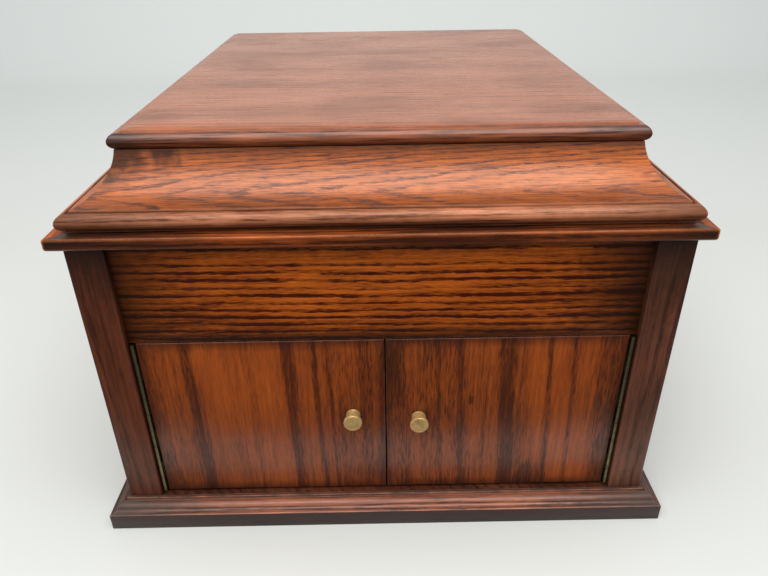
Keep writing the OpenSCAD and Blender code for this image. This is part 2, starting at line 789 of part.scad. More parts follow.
// Turned knob with a straight neck
module knob(x, z) {
  neck = (knob_l - 2.8) / 2;
  color(brass) translate([x, face_y, z]) rotate([90, 0, 0]) {
    rotate_extrude($fn = 64) polygon(concat(
      [[0, 0], [knob_r * 0.8, 0], [knob_r * 0.8, 1.2]],
      arc([knob_r * 0.78, neck], [knob_r * 0.04, neck - 1.4], 270, 90, 8),
      [[knob_r * 0.78, knob_l - 4], [knob_r, knob_l - 3]],
      arc([knob_r - 0.8, knob_l - 0.8], [0.8, 0.8], 0, 180, 6),
      [[0, knob_l - 0.9]]
    ));
    translate([0, 0, -knob_screw_l]) cylinder(h = knob_screw_l + 0.5, r = knob_screw_r, $fn = 32);
  }
}

module door_left() {
  door_slab(meeting_x - door_gap / 2, knob_z);
}

module door_right() {
  mirror([1, 0, 0]) door_slab(-meeting_x - door_gap / 2, knob_z - right_knob_drop);
}

module door_leaf_left() {
  color(brass) door_leaf(1, 1);
}

module door_leaf_right() {
  color(brass) mirror([1, 0, 0]) door_leaf(1, 1);
}

module knob_left() {
  knob(meeting_x - knob_x, knob_z);
}

module knob_right() {
  knob(meeting_x + knob_x, knob_z - right_knob_drop);
}

// Top board with a bullnose and a small step all round its field
module lid_top_board() {
  edge_r = top_t / 2 - 0.7;
  field = 7;
  w = body_w - 2 * top_in;
  d = body_d - 2 * top_in;
  color(oak) union() {
    block([field - w / 2, field - d / 2, cove_top], [w / 2 - field, d / 2 - field, lid_top]);
    mitred_frame(w, d, concat(
      [[-field, cove_top]],
      arc([-edge_r, cove_top + edge_r], [edge_r, edge_r], 270, 450, 12),
      [[-field, cove_top + 2 * edge_r]]
    ), field, 0, 0);
  }
}

// Cove between its foot and its head, hollowed along an arc struck from outside the lid
module lid_cove() {
  foot = [-cove_foot_in, rim_top];
  head = [-cove_head_in, cove_top];
  span = [head[0] - foot[0], head[1] - foot[1]];
  half = norm(span) / 2;
  lean = atan2(span[1], span[0]);
  turn = asin(half / cove_r);
  back = cove_r * cos(turn);
  middle = [(foot[0] + head[0]) / 2 + back * sin(lean), (foot[1] + head[1]) / 2 - back * cos(lean)];
  start = atan2(foot[1] - middle[1], foot[0] - middle[0]);
  color(oak) mitred_frame(body_w, body_d, concat(
    arc(middle, [cove_r, cove_r], start, start - 2 * turn, 14),
    [[-cove_head_in - cove_stock, cove_top], [-cove_foot_in - cove_stock, rim_top]]
  ), cove_head_in + cove_stock, 0, mitre_gap);
}

// Half-round moulding that the closed lid rests on
module lid_rim() {
  nose = [cove_foot_in + lid_rim_out - 1.2, lid_rim_h / 2 - 1.4];
  color(oak) difference() {
    mitred_frame(body_w, body_d, concat(
      [[-rim_in, lid_z], [-1.8, lid_z], [-1.8, rim_top - 2 * nose[1] - 0.6]],
      arc([lid_rim_out - nose[0], rim_top - 0.6 - nose[1]], nose, -70, 90, 10),
      [[-cove_foot_in, rim_top - 1], [-cove_foot_in, rim_top], [-rim_in, rim_top]]
    ), rim_in, lid_rim_out, mitre_gap);
    block([-body_w, half_d, lid_z - 1], [body_w, body_d, lid_top]);
    for (s = [-1, 1]) translate([s * lid_hinge_x, 0, 0])
      block(
        [-lid_hinge_l / 2, half_d - lid_leaf_w, lid_z - 1],
        [lid_hinge_l / 2, body_d, lid_z + lid_leaf_t]
      );
  }
}

module lid_hinge_leaves() {
  color(brass) lid_leaf(lid_z, 1);
}

// Plate on the lid's rim with the pin that the stay turns on
module lid_stay_plate() {
  y = stay_top[0];
  z = stay_top[1];
  color(brass) {
    block([stay_face_x, y - 14, lid_z + 1], [stay_face_x + stay_plate_t, y + 14, rim_top - 1]);
    rod_x(y, z, stay_bar_x - 1.2, stay_face_x, stay_pin_r);
    rod_x(y, z, stay_bar_x - 2.4, stay_bar_x - air, stay_pin_r + 1.8);
  }
}

// Slotted stay that hangs from the lid and slides over the bracket's pin
module lid_stay_arm() {
  slot_r = stay_pin_r + air;
  color(brass) translate([stay_bar_x, stay_top[0], stay_top[1]]) rotate([stay_lean, 0, 0])
    difference() {
      union() {
        rotate([0, 90, 0]) cylinder(h = stay_bar_t, r = stay_end_r, $fn = 64);
        block([0, 0, -stay_end_r], [stay_bar_t, stay_far + 1, stay_end_r]);
        translate([0, stay_far + 1, 0]) rotate([0, 90, 0])
          cylinder(h = stay_bar_t, r = stay_end_r, $fn = 64);
      }
      rod_x(0, 0, -1, stay_bar_t + 1, stay_pin_r + run_fit);
      rod_x(stay_near - 0.5, 0, -1, stay_bar_t + 1, slot_r);
      rod_x(stay_far + 0.5, 0, -1, stay_bar_t + 1, slot_r);
      block([-1, stay_near - 0.5, -slot_r], [stay_bar_t + 1, stay_far + 0.5, slot_r]);
    }
}

// Pressed turntable with a rolled rim and a hub
module platter() {
  color(steel) translate([spindle_x, spindle_y, 0]) difference() {
    rotate_extrude($fn = 128) polygon(concat(
      [[0, felt_z - platter_t], [platter_r - platter_t - 3, felt_z - platter_t],
        [platter_r - platter_t, felt_z - platter_t - 3], [platter_r - platter_t, rim_z]],
      [[platter_r, rim_z], [platter_r, felt_z - 2], [platter_r - 2, felt_z], [0, felt_z]]
    ));
    post(0, 0, rim_z, felt_z + 1, spindle_r + run_fit);
  }
  color(iron) translate([spindle_x, spindle_y, 0]) difference() {
    post(0, 0, board_z + 5, felt_z - platter_t, collar_r + 6);
    post(0, 0, board_z, felt_z, spindle_r + run_fit);
  }
}

module platter_felt() {
  color("#2f4a34") translate([spindle_x, spindle_y, 0]) difference() {
    post(0, 0, felt_z, felt_top, platter_r - 2);
    post(0, 0, felt_z - 1, felt_top + 1, spindle_r + 0.5);
  }
}

// Spindle with its collar, the pinion and the worm wheel
module spindle() {
  color(steel) translate([spindle_x, spindle_y, 0]) {
    post(0, 0, bottom_z, felt_top, spindle_r);
    post(0, 0, bedplate_top + 8 + air, board_z + 5, collar_r);
    post(0, 0, felt_top, spindle_top - 1, record_pin_r);
    translate([0, 0, spindle_top - 1]) cylinder(h = 1, r1 = record_pin_r, r2 = record_pin_r - 1, $fn = 64);
    translate([0, 0, middle_z - 0.5]) linear_extrude(height = gear_t + 1)
      polygon(gear_points(gear_m, pinion_teeth, middle_angle));
  }
  color(brass) translate([spindle_x, spindle_y, worm_z - 2]) linear_extrude(height = 4)
    polygon(gear_points(gear_m, worm_teeth, 0));
}

// Intermediate arbor: its wheel drives the spindle's pinion, its pinion is driven by the barrel
module middle_gear() {
  mesh = middle_angle + 180;
  turn = (mesh - 180 / middle_teeth) % (360 / middle_teeth);
  color(brass) translate([middle_x, middle_y, 0]) {
    post(0, 0, bottom_z, bedplate_top, arbor_r);
    translate([0, 0, middle_z]) linear_extrude(height = gear_t)
      polygon(gear_points(gear_m, middle_teeth, turn));
    post(0, 0, middle_z, barrel_z - 0.5, arbor_r + 2);
    translate([0, 0, barrel_z - 0.5]) linear_extrude(height = barrel_gear_t + 1)
      polygon(gear_points(gear_m, pinion_teeth, 0));
  }
}

// Drum of the mainspring with the great wheel round its foot
module spring_barrel() {
  color(brass) translate([barrel_x, barrel_y, 0]) difference() {
    union() {
      post(0, 0, barrel_z, barrel_z + barrel_h, barrel_r);
      translate([0, 0, barrel_z]) linear_extrude(height = barrel_gear_t)
        polygon(gear_points(gear_m, barrel_teeth, 180 - 180 / barrel_teeth));
    }
    post(0, 0, barrel_z - 1, barrel_z + barrel_h + 1, spindle_r + run_fit);
    post(0, 0, barrel_z + barrel_wall, barrel_z + barrel_h - barrel_wall, barrel_r - barrel_wall);
  }
}

// Flat spring wound round the arbor, from its hook to the drum's wall
module mainspring() {
  turns = 7;
  strip = 0.9;
  inner = spindle_r + 1.5;
  outer = barrel_r - barrel_wall - 1.5;
  steps = 12 * turns;
  line = [for (i = [0:steps]) let (a = 360 * turns * i / steps, r = inner + (outer - inner) * i / steps)
    [r * cos(a), r * sin(a)]];
  far = [for (i = [steps:-1:0])
    let (a = 360 * turns * i / steps, r = inner + strip + (outer - inner) * i / steps)
    [r * cos(a), r * sin(a)]];
  color(steel) translate([barrel_x, barrel_y, barrel_z + barrel_wall + 0.5])
    linear_extrude(height = barrel_h - 2 * barrel_wall - 1) polygon(concat(line, far));
}

// Arbor of the mainspring with the winding wheel, whose teeth stand up from its rim
module winding_arbor() {
  color(steel) translate([barrel_x, barrel_y, 0]) {
    post(0, 0, bottom_z, bedplate_top, spindle_r);
    post(0, 0, wheel_z, wheel_z + wheel_t, wind_r + 2.5);
    for (i = [0:wind_teeth - 1]) rotate([0, 0, 360 * i / wind_teeth])
      block([wind_r - 2, -0.65, wheel_z], [wind_r + 2.4, 0.65, wheel_z + wheel_t + 1.9 * wind_m]);
  }
}

// Winding shaft with its pinion, from the winding wheel to the crank
module winding_shaft() {
  color(steel) translate([0, crank_y, crank_z]) rotate([0, 90, 0]) {
    translate([0, 0, barrel_x + wind_r - 1.6]) linear_extrude(height = 3.6)
      polygon(gear_points(wind_m, wind_pinion_teeth, 180 / wind_pinion_teeth));
    translate([0, 0, barrel_x + wind_r - 1])
      cylinder(h = 5, r = wind_pinion_r - wind_m * tooth_down - 0.4, $fn = 48);
    translate([0, 0, barrel_x + wind_r + 4])
      cylinder(h = arm_face - barrel_x - wind_r - 4, r = crank_shaft_r, $fn = 64);
  }
}

// Crank arm with the boss on the shaft and the pin that the grip turns on
module crank_arm() {
  boss_r = crank_shaft_r + 4;
  color(nickel) {
    rod_x(crank_y, crank_z, arm_face, arm_face + crank_arm_t, boss_r);
    block([arm_face, crank_y - 5, grip_z], [arm_face + crank_arm_t, crank_y + 5, crank_z]);
    rod_x(crank_y, grip_z, arm_face, arm_face + crank_arm_t, 6);
    rod_x(crank_y, grip_z, arm_face + crank_arm_t, grip_x + grip_l, 3);
    rod_x(crank_y, grip_z, grip_x + grip_l + air, grip_x + grip_l + 2.5, 5);
    rod_x(crank_y, grip_z, grip_x + grip_l, grip_x + grip_l + 1, 3);
  }
}

// Turned wooden grip
module crank_grip() {
  color("#26160f") translate([grip_x, crank_y, grip_z]) rotate([0, 90, 0]) difference() {
    rotate_extrude($fn = 64) polygon(concat(
      [[0, 0], [grip_r * 0.65, 0], [grip_r * 0.65, 3]],
      arc([grip_r * 0.55, grip_l * 0.55], [grip_r * 0.45, grip_l * 0.5], -80, 80, 12),
      [[grip_r * 0.5, grip_l], [0, grip_l]]
    ));
    translate([0, 0, -1]) cylinder(h = grip_l + 2, r = 3 + run_fit, $fn = 48);
  }
}

// Governor shaft with its worm, friction disc, collars, springs and three weights
module governor() {
  weight_y = disc_y + 22;
  color(steel) {
    rod_y(governor_x, worm_z, governor_front, governor_back, governor_r);
    rod_y(governor_x, worm_z, spindle_y - 9, spindle_y + 9, worm_r - 1);
    for (i = [-4:4]) rod_y(governor_x, worm_z, spindle_y + 2 * i - 0.5, spindle_y + 2 * i + 0.5, worm_r);
    rod_y(governor_x, worm_z, disc_y, disc_y + 2, disc_r);
    rod_y(governor_x, worm_z, disc_y + 2, disc_y + 8, 5);
    rod_y(governor_x, worm_z, weight_y + 14, weight_y + 20, 5);
  }
  color(brass) for (i = [0:2]) translate([governor_x, 0, worm_z]) rotate([0, 120 * i, 0]) {
    translate([-3.5, weight_y - 4.5, weight_reach - 3]) cube([7, 9, 6]);
    translate([-2, disc_y + 4, 4.5]) cube([4, 0.5 + weight_y + 12 - disc_y, 0.5]);
    translate([-1.2, weight_y - 1.2, 4.8]) cube([2.4, 2.4, weight_reach - 6.8]);
  }
}

// Lever that holds the friction pad in front of the governor's disc
module regulator_lever() {
  tail = [speed_x - 1, speed_y + 9];
  pad_x = governor_x - disc_r - 3;
  color(brass) difference() {
    union() {
      translate([0, 0, lever_z]) linear_extrude(height = 2) polygon([
        [lever_x - 4, lever_y + 4], [pad_x + 5, lever_y + 2], [pad_x + 5, lever_y - 1],
        [lever_x + 4, lever_y - 5], [tail[0] + 3, tail[1]], [tail[0] - 3, tail[1]]
      ]);
      post(lever_x, lever_y, lever_z, lever_z + 5, governor_r + 3);
      block([pad_x, lever_y, lever_z], [pad_x + 6, disc_y - 1.5, lever_z + 4]);
    }
    post(lever_x, lever_y, lever_z - 1, lever_z + 6, governor_r + run_fit);
  }
}

// Knob on the speed dial with its spindle through the board
module speed_knob() {
  color(brass) {
    post(speed_x, speed_y, lever_z, board_z + 2, arbor_r);
    post(speed_x, speed_y, lever_z, lever_z + 2, arbor_r + 4);
    post(speed_x, speed_y, board_z + 1 + air, board_z + 11, 8);
    block([speed_x - 1.2, speed_y + 5, board_z + 1 + air], [speed_x + 1.2, speed_y + 15, board_z + 3]);
  }
}

// Brake lever on its pillar, with a pad that rests against the turntable's rim
module brake_lever() {
  pad_y = spindle_y;
  rim_x = spindle_x + platter_r + air;
  color(nickel) difference() {
    union() {
      post(brake_x, brake_y, board_z + air, brake_z + brake_t, brake_pin_r + 3);
      translate([0, 0, brake_z]) linear_extrude(height = brake_t) polygon([
        [rim_x + 2, pad_y + 6], [rim_x + 8, pad_y + 6], [brake_x + 6, brake_y + 2],
        [brake_x + 12, brake_y - 34], [brake_x + 4, brake_y - 36], [brake_x - 6, brake_y - 2]
      ]);
      post(brake_x + 8, brake_y - 32, brake_z, brake_z + 9, 4);
      block([rim_x, pad_y - 6, brake_z - 1], [rim_x + 5, pad_y + 6, brake_z + 8]);
    }
    post(brake_x, brake_y, board_z, brake_z + 9, brake_pin_r + run_fit);
  }
}

// Tapered tonearm with its sleeve in the bracket
module tonearm() {
  color(nickel) difference() {
    union() {
      post(arm_x, arm_y, board_z + 8, arm_z, arm_sleeve_r);
      post(arm_x, arm_y, board_z + bracket_h + air, board_z + bracket_h + 4, bracket_r);
      translate([arm_x, arm_y, arm_z]) sphere(r = arm_sleeve_r, $fn = 64);
      translate([arm_x, arm_y, arm_z]) rotate([90, 0, 0])
        cylinder(h = arm_l, r1 = arm_r1, r2 = arm_r2, $fn = 64);
      rod_y(arm_x, arm_z, joint_y, joint_y + 8, arm_r2 + 1.2);
    }
    post(arm_x, arm_y, board_z + 7, arm_z, arm_sleeve_r - 3);
    translate([arm_x, arm_y, arm_z]) sphere(r = arm_sleeve_r - 3, $fn = 64);
    translate([arm_x, arm_y, arm_z]) rotate([90, 0, 0])
      cylinder(h = arm_l - goose_in - 2, r1 = arm_r1 - 2, r2 = goose_r - 1, $fn = 64);
    rod_y(arm_x, arm_z, joint_y - 1, joint_y + goose_in + 2.5, goose_r + run_fit);
  }
}

// Bent tube that carries the soundbox and turns in the tonearm's end
module gooseneck() {
  spigot = box_x - goose_bend - arm_x + 2;
  color(nickel) difference() {
    union() {
      rod_y(arm_x, arm_z, bend_y, joint_y + goose_in, goose_r);
      rod_y(arm_x, arm_z, joint_y - 5, joint_y - air, arm_r2);
      translate([arm_x + goose_bend, bend_y, arm_z]) rotate([0, 0, 180])
        rotate_extrude(angle = 90, $fn = 96) translate([goose_bend, 0]) circle(r = goose_r, $fn = 48);
      rod_x(box_y, arm_z, arm_x + goose_bend, arm_x + goose_bend + spigot, goose_r);
    }
    rod_y(arm_x, arm_z, bend_y, joint_y + goose_in + 1, goose_r - goose_wall);
    translate([arm_x + goose_bend, bend_y, arm_z]) rotate([0, 0, 180])
      rotate_extrude(angle = 90, $fn = 96) translate([goose_bend, 0])
        circle(r = goose_r - goose_wall, $fn = 48);
    rod_x(box_y, arm_z, arm_x + goose_bend, box_x + 3, goose_r - goose_wall);
  }
}

// Soundbox: back with its socket, and the ring that holds the diaphragm
module soundbox() {
  color(nickel) difference() {
    union() {
      rod_x(box_y, arm_z, box_x - 6, box_x, goose_r + 4);
      rod_x(box_y, arm_z, box_x, box_front, box_r);
      block([chuck_x - 3, box_y - 5, chuck_z + 3.5], [chuck_x + 3, box_y + 5, arm_z - ring_in]);
    }
    rod_x(box_y, arm_z, box_x - 7, box_x + 3, goose_r + run_fit);
    rod_x(box_y, arm_z, box_x, box_x + box_back_t + 1, goose_r - goose_wall);
    rod_x(box_y, arm_z, box_x + box_back_t, box_front + 1, ring_in);
    block([mica_x + 2, box_y - 2, chuck_z], [chuck_x + 4, box_y + 2, arm_z - ring_in + 1]);
  }
}

module diaphragm() {
  color("#c9b98e") rod_x(box_y, arm_z, mica_x, mica_x + mica_t, ring_in - 0.5);
}

// Rubber rings on both sides of the diaphragm
module soundbox_gaskets() {
  color("#6d2f24") for (x = [[box_x + box_back_t, mica_x], [mica_x + mica_t, mica_x + mica_t + 2.2]])
    difference() {
      rod_x(box_y, arm_z, x[0], x[1], ring_in);
      rod_x(box_y, arm_z, x[0] - 1, x[1] + 1, ring_in - 3.5);
    }
}

// Bar from the diaphragm's centre to the chuck that holds the needle
module needle_bar() {
  color(steel) difference() {
    union() {
      rod_x(box_y, arm_z, mica_x + mica_t, chuck_x + 1.2, 1.4);
      block([chuck_x - 1.2, box_y - 1.2, chuck_z + 1], [chuck_x + 1.2, box_y + 1.2, arm_z + 1.4]);
      post(chuck_x, box_y, chuck_z - 4, chuck_z + 3, chuck_r);
      rod_y(chuck_x, chuck_z, box_y - 4, box_y, 1.8);
    }
    post(chuck_x, box_y, chuck_z - 5, chuck_z + 2, 0.75 + run_fit);
    rod_y(chuck_x, chuck_z, box_y - 5, box_y, 1 + run_fit);
  }
}

module needle() {
  color(steel) {
    post(chuck_x, box_y, tip_z + 3, chuck_z + 1.5, 0.75);
    translate([chuck_x, box_y, tip_z]) cylinder(h = 3, r1 = 0.1, r2 = 0.75, $fn = 32);
  }
}

// Thumbscrew that clamps the needle
module needle_screw() {
  color(nickel) {
    rod_y(chuck_x, chuck_z, box_y - 6, box_y - 0.85, 1);
    rod_y(chuck_x, chuck_z, box_y - 7.5, box_y - 4.3, 3);
  }
}

plinth_moulding();
base_board();
side_left();
side_right();
back_panel();
front_stiles();
fascia_panel();
inner_battens();
cornice_frame();
motor_board();
horn();
horn_elbow();
tonearm_bracket();
arm_rest();
needle_cups();
speed_dial();
winding_escutcheon();
hinge_fixed_leaves();
hinge_pins();
lid_stay_bracket();
case_screws();
bedplate();
bottom_plate();
motor_pillars();
motor_cushions();
motor_brackets();
door_left();
door_right();
door_leaf_left();
door_leaf_right();
knob_left();
knob_right();
lid_top_board();
lid_cove();
lid_rim();
lid_hinge_leaves();
lid_stay_plate();
lid_stay_arm();
platter();
platter_felt();
spindle();
middle_gear();
spring_barrel();
mainspring();
winding_arbor();
winding_shaft();
crank_arm();
crank_grip();
governor();
regulator_lever();
speed_knob();
brake_lever();
tonearm();
gooseneck();
soundbox();
diaphragm();
soundbox_gaskets();
needle_bar();
needle();
needle_screw();
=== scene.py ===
"""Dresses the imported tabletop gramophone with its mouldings, knobs, small parts, finishes and stage."""
import math
from functools import partial

import bmesh
import bpy
from bpy.props import FloatProperty, FloatVectorProperty, IntProperty, PointerProperty
from mathutils import Matrix, Vector


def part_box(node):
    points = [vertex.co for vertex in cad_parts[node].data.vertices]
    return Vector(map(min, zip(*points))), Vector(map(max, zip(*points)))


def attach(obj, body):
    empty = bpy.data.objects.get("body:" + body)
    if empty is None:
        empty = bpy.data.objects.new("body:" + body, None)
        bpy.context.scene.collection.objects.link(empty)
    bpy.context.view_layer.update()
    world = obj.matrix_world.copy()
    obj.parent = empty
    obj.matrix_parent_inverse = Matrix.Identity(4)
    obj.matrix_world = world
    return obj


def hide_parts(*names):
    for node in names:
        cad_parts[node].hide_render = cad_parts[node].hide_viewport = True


bl_info = {
    "name": "Tabletop Gramophone",
    "version": (1, 0, 0),
    "blender": (4, 5, 0),
    "location": "View3D > Sidebar > Gramophone",
    "description": "Mouldings, knobs, felt, motor details and finishes of an oak tabletop gramophone",
    "category": "Add Mesh",
}

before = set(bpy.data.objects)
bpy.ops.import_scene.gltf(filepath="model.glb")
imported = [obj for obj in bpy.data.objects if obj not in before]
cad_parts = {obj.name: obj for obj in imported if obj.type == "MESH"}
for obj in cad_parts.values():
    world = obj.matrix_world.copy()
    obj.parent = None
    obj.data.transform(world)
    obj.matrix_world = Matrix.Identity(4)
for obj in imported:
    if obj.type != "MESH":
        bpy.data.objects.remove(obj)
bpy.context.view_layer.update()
X = Vector((1, 0, 0))
Y = Vector((0, 1, 0))
Z = Vector((0, 0, 1))
MM = 0.001
MERGE = 1e-6  # Points nearer than this are one
FLAT = 1e-7  # Points nearer than this to a cut lie on it

STILE_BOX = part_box("front_stiles")
BACK_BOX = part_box("back_panel")
PLINTH_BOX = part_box("plinth_moulding")
CORNICE_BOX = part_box("cornice_frame")
RIM_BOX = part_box("lid_rim")
COVE_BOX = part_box("lid_cove")
TOP_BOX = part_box("lid_top_board")
LEAF_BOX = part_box("lid_hinge_leaves")
LEAF_LENGTH = 60 * MM
LEAF_THICKNESS = 1.2 * MM
MITRE_GAP = 0.05 * MM

# Reflections see a dark patch of floor in front of the case: its middle's Y, and its reach along X and Y
DARK_MIDDLE = -1.0575
DARK_REACH = (1.2, 0.7425)


# Settings

class GramophoneCase(bpy.types.PropertyGroup):
    """Sizes of the case and the lid"""
    width: FloatProperty(
        name="Case width", description="Width over the side panels", unit="LENGTH",
        default=STILE_BOX[1].x - STILE_BOX[0].x)
    depth: FloatProperty(
        name="Case depth", description="Depth from the stiles' front to the back panel", unit="LENGTH",
        default=BACK_BOX[1].y - STILE_BOX[0].y)
    soft_edge: FloatProperty(
        name="Soft edge", description="Rounding that wear has given the boards' edges", unit="LENGTH",
        default=0.9 * MM, min=0.1 * MM, max=2 * MM)
    arc_steps: IntProperty(
        name="Arc steps", description="Segments in each round stretch of a moulding",
        default=18, min=4, max=48)
    turned_steps: IntProperty(
        name="Turned steps", description="Segments round a turned piece", default=64, min=16, max=128)


class GramophoneFinish(bpy.types.PropertyGroup):
    """Colour and wear of the wood"""
    stain: FloatVectorProperty(
        name="Stain", description="Tint over all the wood, white for none", subtype="COLOR",
        size=3, min=0, max=1, default=(1, 1, 1))
    wear: FloatProperty(
        name="Wear", description="Share of the wear on the wood's free edges", subtype="FACTOR",
        default=1, min=0, max=1)


class GramophoneStage(bpy.types.PropertyGroup):
    """Camera and light"""
    lens: FloatProperty(name="Lens", description="Focal length of the camera in millimetres", default=30.786)
    camera_place: FloatVectorProperty(
        name="Camera place", description="Where the camera stands", subtype="TRANSLATION", size=3,
        default=(-0.00055, -0.62736, 0.42328))
    camera_turn: FloatVectorProperty(
        name="Camera turn", description="Tilt, roll and pan of the camera", subtype="EULER", size=3,
        default=(math.radians(60.765), math.radians(0.74), math.radians(-0.682)))
    sky: FloatProperty(name="Sky", description="Strength of the surrounding soft light", default=0.42, min=0)
    lamp: FloatProperty(name="Lamp", description="Power of the overhead soft box in watts", default=47, min=0)


# Meshes

def arc(centre, radius, start, end, steps):
    """Points of an elliptical arc, angles in degrees."""
    angles = [math.radians(start + (end - start) * i / steps) for i in range(steps + 1)]
    return [(centre[0] + radius[0] * math.cos(a), centre[1] + radius[1] * math.sin(a)) for a in angles]


def everything(bm):
    """All the parts of a bmesh in one list."""
    return bm.verts[:] + bm.edges[:] + bm.faces[:]


def new_points(made):
    """The vertices among what an extrusion has made."""
    return [part for part in made["geom"] if isinstance(part, bmesh.types.BMVert)]


def close_up(bm):
    """Merges doubled points and turns the faces outwards."""
    bmesh.ops.remove_doubles(bm, verts=bm.verts, dist=MERGE)
    bmesh.ops.recalc_face_normals(bm, faces=bm.faces)


def round_edges(bm, edges, width, segments):
    """Rounds edges over a width."""
    bmesh.ops.bevel(
        bm, geom=edges, offset=width, offset_type="OFFSET", affect="EDGES", segments=segments,
        profile=0.5, clamp_overlap=True, material=-1)


def cut_off(bm, place, normal):
    """Cuts off what lies beyond a plane, and closes the cut."""
    cut = bmesh.ops.bisect_plane(
        bm, geom=everything(bm), dist=FLAT, plane_co=place, plane_no=normal, clear_outer=True)
    rim = [part for part in cut["geom_cut"] if isinstance(part, bmesh.types.BMEdge)]
    bmesh.ops.holes_fill(bm, edges=rim, sides=0)


def join(bm, other):
    """Adds a finished bmesh to another one."""
    mesh = bpy.data.meshes.new("part")
    other.to_mesh(mesh)
    other.free()
    bm.from_mesh(mesh)
    bpy.data.meshes.remove(mesh)


def place_mesh(name, bm, materials=()):
    """Puts a bmesh into the scene as an object at the origin."""
    mesh = bpy.data.meshes.new(name)
    bm.to_mesh(mesh)
    bm.free()
    for material in materials:
        mesh.materials.append(material)
    piece = bpy.data.objects.new(name, mesh)
    bpy.context.scene.collection.objects.link(piece)
    return piece


def finish_piece(bm, name, body, materials, node=None, smooth=35):
    """Makes a closed bmesh a piece of its own that rides on a body."""
    close_up(bm)
    for face in bm.faces:
        face.smooth = True
    piece = place_mesh(name, bm, materials)
    piece.data.set_sharp_from_angle(angle=math.radians(smooth))
    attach(piece, body)
    if node:
        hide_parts(node)
    return piece


def add_board(bm, low, high, edge=0.0):
    """A board between two corners, with soft edges unless edge is 0."""
    made = bmesh.ops.create_cube(bm, size=1)["verts"]
    low, high = Vector(low), Vector(high)
    bmesh.ops.scale(bm, vec=high - low, verts=made)
    bmesh.ops.translate(bm, vec=(low + high) / 2, verts=made)
    if edge:
        round_edges(bm, list({e for v in made for e in v.link_edges}), edge, 3)


def cut_pockets(piece, low_z, high_z):
    """Cuts the pockets in which the leaves of the lid's two hinges lie flush."""
    bm = bmesh.new()
    low, high = LEAF_BOX
    for start in (low.x, high.x - LEAF_LENGTH):
        add_board(bm, (start, low.y, low_z), (start + LEAF_LENGTH, BACK_BOX[1].y + 1 * MM, high_z))
    cutter = place_mesh("pockets", bm)
    cut = piece.modifiers.new("Pockets", "BOOLEAN")
    cut.object, cut.operation, cut.solver = cutter, "DIFFERENCE", "EXACT"
    spent = (piece.data, cutter.data)
    result = piece.evaluated_get(bpy.context.evaluated_depsgraph_get())
    mesh = bpy.data.meshes.new_from_object(result)
    piece.modifiers.clear()
    piece.data = mesh
    mesh.set_sharp_from_angle(angle=math.radians(35))
    bpy.data.objects.remove(cutter)
    for old in spent:
        bpy.data.meshes.remove(old)


def loose_parts(node):
    """The lowest and highest corners of each separate solid in a CAD node."""
    bm = bmesh.new()
    bm.from_mesh(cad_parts[node].data)
    bmesh.ops.remove_doubles(bm, verts=bm.verts, dist=MERGE)
    left, boxes = set(bm.verts), []
    while left:
        reached, part = [left.pop()], []
        while reached:
            vert = reached.pop()
            part.append(vert.co.copy())
            for near in (e.other_vert(vert) for e in vert.link_edges):
                if near in left:
                    left.remove(near)
                    reached.append(near)
        boxes.append([Vector([pick(co[i] for co in part) for i in range(3)]) for pick in (min, max)])
    bm.free()
    return sorted(boxes, key=lambda box: tuple(round(value, 5) for value in box[0]))


def add_mitred_frame(bm, profile, width, depth, edge):
    """Four mitred rails round a rectangle.

    profile holds (outwards from the case, height) points. The front and back rails take the first
    material, the side rails the second."""
    spare = 2 * max(out for out, height in profile) + 10 * MM
    for turn in (0, 90, 180, 270):
        beside = turn % 180 > 0
        across, front = (depth, width) if beside else (width, depth)
        half = across / 2 + spare
        rail = bmesh.new()
        start = rail.faces.new([rail.verts.new((-half, -front / 2 - out, height)) for out, height in profile])
        grown = bmesh.ops.extrude_face_region(rail, geom=[start])
        bmesh.ops.translate(rail, vec=X * 2 * half, verts=new_points(grown))
        for side in (-1, 1):
            cut_off(rail, (side * (across / 2 - MITRE_GAP), -front / 2, 0), (side, 1, 0))
        close_up(rail)
        sharp = [e for e in rail.edges if len(e.link_faces) == 2 and e.calc_face_angle() > math.radians(30)]
        round_edges(rail, sharp, edge, 2)
        around = Matrix.Rotation(math.radians(turn), 3, "Z")
        bmesh.ops.rotate(rail, cent=(0, 0, 0), matrix=around, verts=rail.verts)
        for face in rail.faces:
            face.material_index = int(beside)
        join(bm, rail)


def add_turned(bm, profile, centre, axis, steps):
    """A turned piece: profile holds (radius, distance along the axis) points from end to end."""
    part = bmesh.new()
    line = [part.verts.new((r, 0, z)) for r, z in profile]
    edges = [part.edges.new(pair) for pair in zip(line, line[1:])]
    bmesh.ops.spin(
        part, geom=line + edges, cent=(0, 0, 0), axis=Z, dvec=(0, 0, 0), angle=math.tau,
        steps=steps, use_merge=True)
    close_up(part)
    turn = Z.rotation_difference(axis).to_matrix().to_4x4()
    bmesh.ops.transform(part, matrix=Matrix.Translation(centre) @ turn, verts=part.verts)
    join(bm, part)


